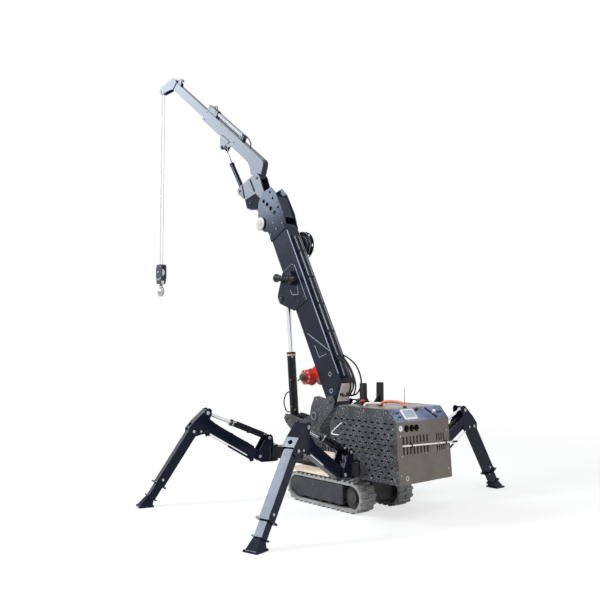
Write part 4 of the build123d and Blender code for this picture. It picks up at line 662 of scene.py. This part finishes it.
Shape().slab(CONSOLE, rectangle(0.165, 0.087, 0.100, 0.066), -0.003, 0.014, 0.005).piece("console_frame",
    white_paint, "chassis", "hood_top")
Shape().slab(CONSOLE, rectangle(0.165, 0.090, 0.082, 0.048), 0.010, 0.0155, 0.0015).piece("console_screen",
    screen_glass, "chassis", "hood_top")
Shape().lathe(CONSOLE.at(0.385, 0.045, -SINK), CONSOLE.across,
    [(0.016, 0), (0.016, 0.006), (0.012, 0.007), (0.011, 0.014), (0.007, 0.017), (0, 0.018)],
    24).piece("console_start_button", green_plastic, "chassis", "hood_top")
knobs = Shape()
for y, v in ((0.345, 0.06), (0.315, 0.06), (0.345, 0.115), (0.315, 0.115), (0.39, 0.115)):
    knobs.lathe(CONSOLE.at(y, v, -SINK), CONSOLE.across,
        [(0.010, 0), (0.010, 0.005), (0.004, 0.007), (0.003, 0.022), (0.005, 0.027), (0, 0.030)], 14)
knobs.lathe(CONSOLE.at(0.004, 0.14, -SINK), CONSOLE.across,
    [(0.020, 0), (0.018, 0.012), (0.016, 0.024), (0.013, 0.027)], 24)
knobs.slab(CONSOLE, strip((-0.150, 0.155), (-0.265, 0.02), 0.016), -0.003, 0.007, 0.003)
for y in (-0.32, -0.37):
    knobs.lathe(CONSOLE.at(y, 0.09, -SINK), CONSOLE.across, [(0.014, 0), (0.014, 0.008), (0.010, 0.012)], 20)
knobs.piece("console_switches", plastic, "chassis", "hood_top")
Shape().lathe(CONSOLE.at(-0.215, 0.08, 0.004), CONSOLE.across,
    [(0.005, 0), (0.005, 0.025), (0.013, 0.030), (0.016, 0.042), (0.010, 0.054), (0, 0.057)],
    20).piece("console_throttle", white_paint, "chassis", "hood_top")

# On the hood's top and sides
DECK = 1.193
HOOD_FACE = 0.440
STOP_KNOB = (-0.475, 0.235)
HANDLE_OUT = 0.466
Shape().tube(BODY.path((-0.53, DECK - 0.004, 0.267), (-0.545, DECK + 0.022, 0.25),
    (-0.605, DECK + 0.024, 0.178), (-0.667, DECK + 0.022, 0.105), (-0.682, DECK - 0.004, 0.088)), 0.013,
    14).piece("hood_white_pipe", white_paint, "chassis", "hood_top")
Shape().lathe(BODY.at(STOP_KNOB[0], DECK + 0.035, STOP_KNOB[1]), UP,
    [(0.014, 0), (0.026, 0.006), (0.028, 0.016), (0.022, 0.026), (0.010, 0.030), (0, 0.031)],
    24).piece("hood_stop_knob", red_paint, "chassis", "hood_top")
stands = Shape()
stands.lathe(BODY.at(STOP_KNOB[0], DECK - SINK, STOP_KNOB[1]), UP,
    [(0.024, 0), (0.024, 0.014), (0.012, 0.018), (0.012, 0.04)], 20)
stands.lathe(BODY.at(-1.0, DECK - SINK, 0.12), UP, [(0.018, 0), (0.018, 0.008), (0.009, 0.02), (0.007, 0.05),
    (0.0032, 0.055), (0.0024, 0.20), (0.004, 0.202), (0.004, 0.208), (0, 0.21)], 16)
for x, y in ((-0.72, 0.20), (-1.02, 0.136)):
    stands.lathe(BODY.at(x, DECK - SINK, y), UP, [(0.024, 0), (0.024, 0.006), (0.019, 0.012),
        (0.019, 0.020)], 20)
stands.piece("hood_top_stands", plastic, "chassis", "hood_top")
Shape().tube(BODY.path((-0.72, DECK + 0.005, 0.20), (-0.735, DECK + 0.035, 0.198),
    (-0.80, DECK + 0.058, 0.19), (-0.90, DECK + 0.062, 0.165), (-0.985, DECK + 0.048, 0.145),
    (-1.018, DECK + 0.022, 0.137), (-1.02, DECK - SINK, 0.136)), 0.015, 14).piece("hood_orange_hose",
    orange_hose, "chassis", "hood_top")
side_handles = Shape()
side_bolts = Shape()
for side in (-1, 1):
    side_handles.tube(BODY.path((-0.300, 0.860, side * 0.437), (-0.295, 0.860, side * 0.458),
        (-0.240, 0.862, side * HANDLE_OUT), (-0.202, 0.871, side * HANDLE_OUT),
        (-0.224, 0.897, side * HANDLE_OUT), (-0.300, 0.955, side * HANDLE_OUT),
        (-0.342, 0.989, side * 0.460), (-0.350, 0.996, side * 0.437)), 0.0065, 10)
SIDE_BOLTS = ((-1.02, 1.155), (-0.69, 1.155), (-0.36, 1.155), (-1.14, 0.47), (-1.12, 0.99), (-0.80, 0.445),
    (-0.22, 0.80))
side_bolts.bolt_pairs(BODY, SIDE_BOLTS, HOOD_FACE, 0.005)
side_handles.piece("hood_handles", white_paint, "chassis", "hood_side")
side_bolts.piece("hood_side_bolts", zinc, "chassis", "hood_side")
rest_pads = Shape()
for side in (-1, 1):
    rest_pads.slab(Axes(BODY.at(-0.390, DECK + 0.239, side * 0.139), (1, 0, 0), (0, side, 0), UP),
        rectangle(0, 0, 0.031, 0.022), -0.003, 0.006)
    for x in (-0.435, -0.345):
        rest_pads.bolt(BODY.at(x, DECK + 0.016, side * 0.175), UP, 0.008)
rest_pads.piece("boom_rest_pads", hose_rubber, "chassis", "boom_rest")

# Valve bank and levers beside the turret, on the deck
VALVE_PLACES = [-0.07 + 0.05 * index for index in range(5)]
valves = Shape()
valves.slab(BODY, [(-0.10, 0.43), (0.16, 0.43), (0.16, 0.545), (0.14, 0.56), (-0.08, 0.56), (-0.10, 0.545)],
    0.17, 0.30, 0.006)
for x in VALVE_PLACES:
    valves.slab(BODY, rectangle(x, 0.50, 0.018, 0.045), 0.155, 0.315, 0.004)
    valves.lathe(BODY.at(x, 0.555, 0.235), UP, [(0.017, 0), (0.017, 0.014), (0.010, 0.024), (0, 0.026)], 16)
valves.piece("valve_bank", iron, "chassis", "chassis")
levers = Shape()
for x in VALVE_PLACES:
    levers.tube(BODY.path((x, 0.56, 0.235), (x - 0.004, 0.64, 0.238), (x - 0.012, 0.72, 0.245)), 0.0055, 8)
    levers.lathe(BODY.at(x - 0.012, 0.715, 0.245), UP,
        [(0, 0), (0.010, 0.003), (0.014, 0.014), (0.012, 0.026), (0.005, 0.032), (0, 0.033)], 14)
levers.piece("valve_levers", steel, "chassis", "chassis")
valve_plate = Shape()
valve_plate.slab(BODY, [(-0.12, 0.44), (0.17, 0.44), (0.17, 0.60), (0.12, 0.63), (-0.12, 0.63)], 0.335,
    0.341, 0.0015)
valve_plate.slab(BODY, [(-0.12, 0.432), (0.17, 0.432), (0.17, 0.446), (-0.12, 0.446)], 0.28, 0.341, 0.0015)
valve_plate.piece("valve_plate", fender_paint, "chassis", "chassis")

# Turret
CHEEK_PLUG = (0.468, 0.994)
turret_bolts = Shape()
for u, v in polar(0.52, 0.0, 0.205, 18, 0.17):
    if abs(v) > 0.15:
        turret_bolts.bolt(BODY.at(u, 0.6403, v), UP, 0.009)
turret_bolts.bolt_pairs(BODY, polar(*CHEEK_PLUG, 0.034, 3, 0.6), 0.146, 0.008)
turret_bolts.bolt_pairs(BODY, (BOOM_PIN, LUFF_PIN), 0.142, 0.013)
turret_bolts.piece("turret_bolts", iron, "turret", "turret")
turret_plugs = Shape()
for side in (-1, 1):
    turret_plugs.lathe(BODY.at(*CHEEK_PLUG, side * 0.1445), LEFT * side,
        [(0.036, 0), (0.050, 0), (0.050, 0.005), (0.046, 0.009), (0.040, 0.009), (0.036, 0.005)], 32, True)
turret_plugs.piece("turret_plugs", grey_paint, "turret", "turret")

# Boom
back_hoses = Shape()
back_pipes = Shape()
for shape, w_place in ((back_pipes, -0.036), (back_hoses, -0.012), (back_hoses, 0.012), (back_pipes, 0.036)):
    shape.tube(BOOM.level(w_place, (0.235, 0.268), (0.262, 0.286), (0.9, 0.288), (1.6, 0.288), (2.20, 0.286),
        (2.232, 0.268)), 0.0095)
back_pipes.piece("boom_pipes", grey_paint, "boom", "boom")
for along in (0.42, 0.82, 1.22, 1.62, 2.02):
    back_hoses.slab(BOOM, rectangle(along, 0.288, 0.014, 0.013), -0.052, 0.052, 0.003)
back_hoses.piece("boom_hoses", hose_rubber, "boom", "boom")
# Weld beads in a pale tone that is painted highlight.
beads = Shape()
# Pale tubes along the boom's back edges: a painted highlight line where light catches the edge.
edge_highlight_lines = Shape()
WELD_LINES = (
    (0.103, ((0.948, -0.015), (0.56, 0.25))),
    (0.104, ((0.749, 0.036), (0.576, 0.045))),
    (0.106, ((0.576, 0.045), (0.553, 0.185))),
    (0.104, ((1.335, 0.172), (1.855, 0.172), (1.902, 0.128), (1.902, -0.075))),
    (0.111, ((1.609, -0.048), (1.535, -0.040), (1.478, 0.065), (1.585, 0.105))),
)
for side in (-1, 1):
    for face, corners in WELD_LINES:
        for ends in zip(corners, corners[1:]):
            beads.tube(BOOM.level(side * face, *ends), 0.006, 8, 3)
    edge_highlight_lines.tube(BOOM.level(side * 0.098, (0.25, 0.253), (2.36, 0.253)), 0.0065, 8, 3)
    for u, v in ((0.306, 0.126), (0.116, 0.05)):
        beads.lathe(BOOM.at(u, v, side * 0.105), LEFT * side,
            [(0.016, 0), (0.030, 0), (0.030, 0.004), (0.026, 0.007), (0.020, 0.007), (0.016, 0.004)], 24,
            True)
beads.piece("boom_weld_beads", pale_highlight_paint, "boom", "boom")
edge_highlight_lines.piece("boom_edge_highlight_lines", edge_highlight_paint, "boom", "boom")
foot_plate = Shape()
FOOT_FACE = inside(BOOM, -0.040, 0.062, 48.9)
foot_plate.slab(FOOT_FACE, rectangle(0.130, 0.001, 0.118, 0.004), -0.094, 0.094, 0.0015)
for along in (0.04, 0.22):
    for w_place in (-0.07, 0.07):
        foot_plate.bolt(FOOT_FACE.at(along, 0.005, w_place), FOOT_FACE.up, 0.008)
foot_plate.piece("boom_foot_plate", fender_paint, "boom", "boom")
foot_hoses = Shape()
for reach, w_place in ((0.0, 0.075), (0.03, 0.045), (-0.02, -0.03), (0.05, -0.065)):
    foot_hoses.tube(BOOM.path((0.50, 0.268, w_place * 0.6), (0.44, 0.31 + reach * 0.3, w_place),
        (0.26, 0.375 + reach, w_place), (0.06, 0.36 + reach, w_place), (-0.03, 0.26 + reach * 0.5, w_place),
        (0.0, 0.165, w_place), (0.055, 0.150, w_place)), 0.010)
foot_hoses.piece("boom_foot_hoses", hose_rubber, "boom", "boom")
foot_bolts = Shape()
foot_bolts.bolt_pairs(BOOM, ((1.604, -0.259),), 0.123, 0.014)
foot_bolts.bolt_pairs(BOOM, ((1.40, 0.02), (1.40, 0.15), (1.82, 0.02), (1.82, 0.15)), 0.111, 0.009)
foot_bolts.piece("boom_bracket_bolts", iron, "boom", "boom")
REEL = (2.170, 0.205)
REEL_INSIDE = -0.129
REEL_STEPS = 48
REEL_TURNS = 3
windings = Shape()
turns_of_hose = []
for layer, radius in enumerate((0.131, 0.153)):
    for index in range(REEL_STEPS):
        place = index / (REEL_STEPS - 1)
        shift = REEL_INSIDE - 0.028 * (place if layer == 0 else 1 - place)
        turn = 2 * pi * REEL_TURNS * place
        turns_of_hose.append(BOOM.at(REEL[0] + radius * cos(turn), REEL[1] + radius * sin(turn), shift))
hose_start = BOOM.at(REEL[0] + 0.110, REEL[1] - 0.01, REEL_INSIDE)
hose_end = BOOM.at(REEL[0] + 0.150, REEL[1] + 0.03, REEL_INSIDE)
windings.tube([hose_start] + turns_of_hose + [hose_end], 0.0095, 8, 2)
windings.piece("reel_hose", hose_rubber, "boom", "reel")
# Reel rims in a pale tone that is painted highlight.
reel_rims = Shape()
for w_place, outward in ((-0.114, 1), (-0.172, -1)):
    for radius in (0.184, 0.124):
        reel_rims.lathe(BOOM.at(*REEL, w_place), LEFT * outward,
            [(radius - 0.006, -0.001), (radius, -0.001), (radius, 0.003), (radius - 0.003, 0.005),
            (radius - 0.006, 0.003)], 48, True)
reel_rims.piece("reel_rims", pale_highlight_paint, "boom", "reel")
LAMP_TURN = radians(5.0)
lamp_axis = Vector((cos(LAMP_TURN), 0, sin(LAMP_TURN)))
lamp_mouth = BODY.at(0.800, 2.730, 0.171) + lamp_axis * 0.390
Shape().lathe(lamp_mouth, lamp_axis, [(0.050, -0.002), (0.050, 0.002), (0.034, 0.005), (0, 0.007)],
    28).piece("work_lamp_lens", screen_glass, "boom", "lamp")
lamp_rim = Shape()
lamp_rim.lathe(lamp_mouth, lamp_axis, [(0.049, -0.004), (0.0565, -0.004), (0.0575, 0.002), (0.0545, 0.008),
    (0.050, 0.007)], 28, True)
for along in (0.10, 0.16, 0.22):
    lamp_rim.lathe(lamp_mouth - lamp_axis * (0.39 - along), lamp_axis,
        [(0.028, 0), (0.038, 0), (0.038, 0.008), (0.028, 0.008)], 24, True)
lamp_rim.piece("work_lamp_rim", plastic, "boom", "lamp")
WINCH = (0.440, -0.228)
DRUM_HALF = 0.066
DRUM_RADIUS = 0.0685
ROPE_STEPS = 14
ROPE_TURNS = 12
drum_rope = Shape()
rope_path = []
for index in range(ROPE_STEPS * ROPE_TURNS):
    turn = 2 * pi * index / ROPE_STEPS
    across = -DRUM_HALF + 2 * DRUM_HALF * index / (ROPE_STEPS * ROPE_TURNS)
    rope_path.append(BOOM.at(WINCH[0] + DRUM_RADIUS * cos(turn), WINCH[1] + DRUM_RADIUS * sin(turn), across))
rope_start, rope_end = [BOOM.at(WINCH[0] + 0.055, WINCH[1], across) for across in (-DRUM_HALF, DRUM_HALF)]
drum_rope.tube([rope_start] + rope_path + [rope_end], 0.0055, 6, 2)
drum_rope.piece("winch_rope", rope_wire, "boom", "rope")
winch_bolts = Shape()
for u, v in polar(*WINCH, 0.076, 8, 0.39):
    winch_bolts.bolt(BOOM.at(u, v, 0.184), LEFT, 0.007)
winch_bolts.piece("winch_bolts", zinc, "boom", "winch")
Shape().lathe(BOOM.at(*WINCH, 0.209), LEFT, [(0.046, 0), (0.046, 0.012), (0.040, 0.018), (0.040, 0.040),
    (0.034, 0.046), (0.014, 0.046), (0.012, 0.052)], 28).piece("winch_motor", iron, "boom", "winch")
Shape().lathe(BOOM.at(WINCH[0], WINCH[1] - 0.036, 0.236), BOOM.up * -1,
    [(0.013, 0), (0.013, 0.026), (0.009, 0.030), (0.009, 0.045), (0.012, 0.047), (0.012, 0.060), (0, 0.062)],
    12).piece("winch_fitting", brass, "boom", "winch")

# Boom head and jib root
HEAD_SHEAVE = (2.760, -0.172)
sheave_faces = Shape()
for side in (-1, 1):
    sheave_faces.lathe(BOOM.at(*HEAD_SHEAVE, side * 0.119), LEFT * side,
        [(0.088, 0), (0.088, 0.004), (0.074, 0.008), (0.040, 0.008), (0.036, 0.004), (0.030, 0.004),
        (0.028, 0.012), (0.012, 0.015)], 32)
sheave_faces.piece("head_sheave_faces", zinc, "boom_extension", "boom_head")
head_bolts = Shape()
head_bolts.bolt_pairs(BOOM, ((2.50, -0.06), (2.50, 0.08), (2.50, 0.22)), 0.110, 0.009)
head_bolts.bolt_pairs(BOOM, ((2.62, 0.05), (2.84, 0.245)), 0.102, 0.009)
head_bolts.bolt_pairs(BODY, ((1.773, 4.231),), 0.081, 0.012)
head_bolts.bolt_pairs(BODY, ((2.175, 4.110),), 0.081, 0.010)
head_bolts.bolt_pairs(BODY, ((1.70, 3.87), (1.92, 3.90), (1.86, 4.12)), 0.073, 0.007)
head_bolts.piece("boom_head_bolts", grey_paint, "boom_extension", "boom_head")
# Matte near-black rings round the head's holes and a matte plate over the jib root's lower part are painted
# shade: they stay dark where the holes and the root's underside fall dark. Two matte strips go with them.
shade_pieces = Shape()
HEAD_HOLES = ((3.010, 0.020, 0.022), (2.925, 0.060, 0.024), (2.830, 0.100, 0.024), (2.730, 0.140, 0.022),
    (3.040, 0.190, 0.014), (2.930, 0.200, 0.013), (2.750, 0.240, 0.012))
for side in (-1, 1):
    for u, v, radius in HEAD_HOLES:
        shade_pieces.lathe(BOOM.at(u, v, side * 0.100), LEFT * side,
            [(radius - 0.002, -0.004), (radius + 0.007, -0.004), (radius + 0.007, 0.003),
            (radius + 0.005, 0.0045), (radius - 0.002, 0.0045)], 24, True)
    shade_pieces.slab(BODY, strip((2.112, 4.178), (2.058, 3.990), 0.012), side * 0.072, side * 0.0775, 0.001)
    shade_pieces.slab(BODY, strip((1.924, 4.235), (1.815, 4.047), 0.014), side * 0.072, side * 0.0775, 0.001)
    shade_pieces.slab(BODY, [(2.036, 3.958), (1.791, 4.014), (1.690, 3.93), (1.690, 3.775), (1.895, 3.80),
        (1.988, 3.838)], side * 0.072, side * 0.0765, 0.001)
shade_pieces.piece("head_shade_pieces", matte_black, "boom_extension", "boom_head")
root_hoses = Shape()
for lift, w_place in ((0.0, 0.030), (0.014, 0.006), (0.006, -0.020)):
    root_hoses.tube(BODY.level(w_place, (1.95, 3.93), (1.99, 4.01), (2.01, 4.075 + lift),
        (1.975, 4.115 + lift), (1.93, 4.10 + lift), (1.905, 4.03), (1.89, 3.93)), 0.008)
root_hoses.piece("root_hoses", hose_rubber, "boom_extension", "boom_head")

# Luff cylinder
LUFF = tilted(TRACK_X + LUFF_PIN[0], LUFF_PIN[1], 84.726)
luff_pipe = Shape()
luff_pipe.tube(LUFF.path((0.10, 0.045, 0.020), (0.115, 0.066, 0.026), (0.45, 0.066, 0.026),
    (0.76, 0.066, 0.026), (0.785, 0.045, 0.020)), 0.009)
luff_pipe.tube(LUFF.path((0.14, 0.030, 0.050), (0.13, 0.060, 0.085), (0.30, 0.085, 0.105),
    (0.46, 0.060, 0.085), (0.48, 0.030, 0.045)), 0.008)
luff_pipe.tube(LUFF.path((0.07, -0.045, 0.020), (0.09, -0.110, 0.045), (0.20, -0.145, 0.050),
    (0.31, -0.105, 0.040), (0.34, -0.045, 0.020)), 0.008)
luff_pipe.piece("luff_hoses", hose_rubber, "luff_barrel", "cylinder")
luff_rings = Shape()
luff_rings.lathe(LUFF.at(0.80, 0), LUFF.along, [(0.056, 0), (0.061, 0.004), (0.061, 0.022), (0.058, 0.026),
    (0.058, 0.034), (0.061, 0.038), (0.061, 0.052), (0.056, 0.055)], 32, True)
for along, v, w_place in ((0.10, 0.036, 0.018), (0.785, 0.036, 0.018), (0.14, 0.020, 0.040),
        (0.48, 0.020, 0.036)):
    luff_rings.lathe(LUFF.at(along, v, w_place), LUFF.up * v + LUFF.across * w_place,
        [(0.014, 0), (0.014, 0.022), (0.010, 0.026), (0.010, 0.036)], 6)
luff_rings.piece("luff_fittings", brass, "luff_barrel", "cylinder")

# Jib
tele_clamp = Shape()
tele_clamp.slab(JIB, [(1.56, -0.002), (1.86, -0.002), (1.86, 0.078), (1.84, 0.092), (1.58, 0.092),
    (1.56, 0.078)], -0.037, 0.037, 0.004)
for along in (0.70, 0.74):
    tele_clamp.slab(JIB, rectangle(along + 0.01, 0.042, 0.012, 0.044), -0.034, 0.034, 0.004)
tele_clamp.piece("tele_clamps", jib_paint, "jib", "jib")
tele_pipes = Shape()
for root, v, w_place in ((0.068, 0.0865, 0.0), (0.034, 0.020, 0.022)):
    tele_pipes.tube(JIB.level(w_place, (0.745, root), (0.765, v), (1.15, v), (1.55, v), (1.58, root)),
        0.0055)
tele_pipes.tube(JIB.path((0.72, 0.060, 0.010), (0.66, 0.085, 0.012), (0.58, 0.085, 0.014),
    (0.50, 0.055, 0.016), (0.455, -0.006, 0.018)), 0.009)
tele_pipes.tube(JIB.level(0.0, (1.66, 0.088), (1.655, 0.118), (1.69, 0.132), (1.725, 0.118), (1.72, 0.088)),
    0.007)
tele_pipes.piece("tele_pipes", hose_rubber, "jib", "jib")
jib_bolts = Shape()
jib_bolts.bolt_pairs(JIB, ((1.09, -0.29),), 0.064, 0.012)
for side in (-1, 1):
    for u, v in ((1.33, -0.03), (0.86, -0.10), (1.83, -0.03), (1.83, -0.15)):
        jib_bolts.lathe(JIB.at(u, v, side * 0.0455), LEFT * side,
            [(0.010, 0), (0.010, 0.003), (0.007, 0.005)], 16)
jib_bolts.bolt_pairs(JIB, ((1.62, 0.03), (1.80, 0.03), (1.62, 0.07), (1.80, 0.07)), 0.037, 0.005)
jib_bolts.piece("jib_bolts", iron, "jib", "jib")

# Hook block and hook
TIP_X = 4.560
BLOCK_PIN_Z = 3.110
block_bolts = Shape()
block_bolts.bolt_pairs(BODY, ((TIP_X, BLOCK_PIN_Z),), 0.058, 0.012)
block_bolts.bolt_pairs(BODY, [(TIP_X + u, z) for u in (-0.06, 0.06) for z in (3.20, 3.00)], 0.052, 0.007)
for side in (-1, 1):
    block_bolts.slab(BODY, rectangle(TIP_X, 2.985, 0.028, 0.012), side * 0.050, side * 0.0545, 0.002)
block_bolts.piece("hook_block_bolts", steel, "hook_line", "hook_block")
block_sheave = Shape()
block_sheave.lathe(BODY.at(TIP_X, BLOCK_PIN_Z, -0.0285), LEFT,
    [(0.050, 0), (0.0665, 0), (0.0665, 0.008), (0.0655, 0.012), (0.0655, 0.045), (0.0665, 0.049),
    (0.0665, 0.057), (0.050, 0.057)], 40, True)
for side in (-1, 1):
    block_sheave.slab(Axes(BODY.at(TIP_X + side * 0.045, 2.94), LEFT, UP, (side, 0, 0)),
        rectangle(0, 0, 0.026, 0.026), -0.002, 0.005, 0.002)
block_sheave.piece("hook_block_sheave", white_paint, "hook_line", "hook_block")
Shape().lathe(BODY.at(TIP_X, 2.878), UP, [(0.0165, 0), (0.024, 0), (0.026, 0.004), (0.026, 0.020),
    (0.024, 0.024), (0.0165, 0.024)], 24, True).piece("hook_collar", iron, "hook", "hook")


# Light, floor and background
def area_lamp(name, place, target, size, power, colour, along=(1, 0, 0)):
    """Soft rectangle of light that faces a target, its long side along a direction."""
    data = bpy.data.lights.new(name, "AREA")
    data.shape = "RECTANGLE"
    data.size, data.size_y = size
    data.energy = power
    data.color = colour
    lamp = bpy.data.objects.new(name, data)
    bpy.context.scene.collection.objects.link(lamp)
    back = (Vector(place) - Vector(target)).normalized()
    side = (Vector(along) - back * back.dot(Vector(along))).normalized()
    turn = Matrix((side, back.cross(side), back)).transposed().to_4x4()
    lamp.matrix_world = Matrix.Translation(place) @ turn
    lamp.visible_camera = False


SKY = (0.76, 0.87, 1.0)
DAYLIGHT = (0.95, 0.98, 1.0)
WARM = (1.0, 0.975, 0.95)
FILL_STRENGTH = 0.62
FLOOR_RADIUS = 11.0
FLOOR_FADE = (3.2, 9.5)
FLOOR_LIFT = 0.7
WHITE = (1, 1, 1, 1)
area_lamp("leg_softbox", BODY.at(5.13, 9.15, 8.5), BODY.at(-0.87, 0.5, 1.8), (6.4, 1.6), 1090.0, DAYLIGHT,
    (-0.09, 0.855, -0.512))
area_lamp("jib_softbox", BODY.at(12.3, 8.45, 6.15), BODY.at(2.9, 5.2, 0.0), (6.3, 2.4), 435.0, SKY,
    (0.835, 0, 0.55))
area_lamp("key", BODY.at(-6.0, 8.0, 3.0), BODY.at(0.3, 1.5, 0.0), (5.0, 5.0), 370.0, WARM)

world = bpy.data.worlds.new("studio")
bpy.context.scene.world = world
world.use_nodes = True
w = Nodes(world.node_tree)
fill = w.plain("ShaderNodeBackground", Color=(0.95, 0.97, 1.0, 1), Strength=FILL_STRENGTH)
shown = w.plain("ShaderNodeBackground", Color=WHITE, Strength=1.0)
world_out = w.tree.nodes.new("ShaderNodeOutputWorld")
w.put(world_out.inputs["Surface"], w.blend(w.seen(), fill, shown))

floor_mesh = bpy.data.meshes.new("floor")
floor_shape = bmesh.new()
bmesh.ops.create_circle(floor_shape, cap_ends=True, segments=96, radius=FLOOR_RADIUS)
floor_shape.to_mesh(floor_mesh)
floor_shape.free()
floor = bpy.data.objects.new("floor", floor_mesh)
floor.location = (-0.8, 0, -0.001)
bpy.context.scene.collection.objects.link(floor)
floor_material = bpy.data.materials.new("floor")
floor_material.use_nodes = True
f = Nodes(floor_material.node_tree)
floor_place = f.tree.nodes.new("ShaderNodeTexCoord").outputs["Object"]
length = f.tree.nodes.new("ShaderNodeVectorMath")
length.operation = "LENGTH"
f.put(length.inputs[0], floor_place)
pale = f.plain("ShaderNodeBsdfDiffuse", Color=(0.93, 0.93, 0.93, 1))
white = f.plain("ShaderNodeEmission", Color=WHITE)
lifted = f.blend(f.math("MULTIPLY", f.seen(), FLOOR_LIFT), pale, white)
clear = f.plain("ShaderNodeBsdfTransparent")
floor_out = f.tree.nodes.new("ShaderNodeOutputMaterial")
f.put(floor_out.inputs["Surface"], f.blend(f.ramp(length.outputs["Value"], *FLOOR_FADE), lifted, clear))
floor_mesh.materials.append(floor_material)
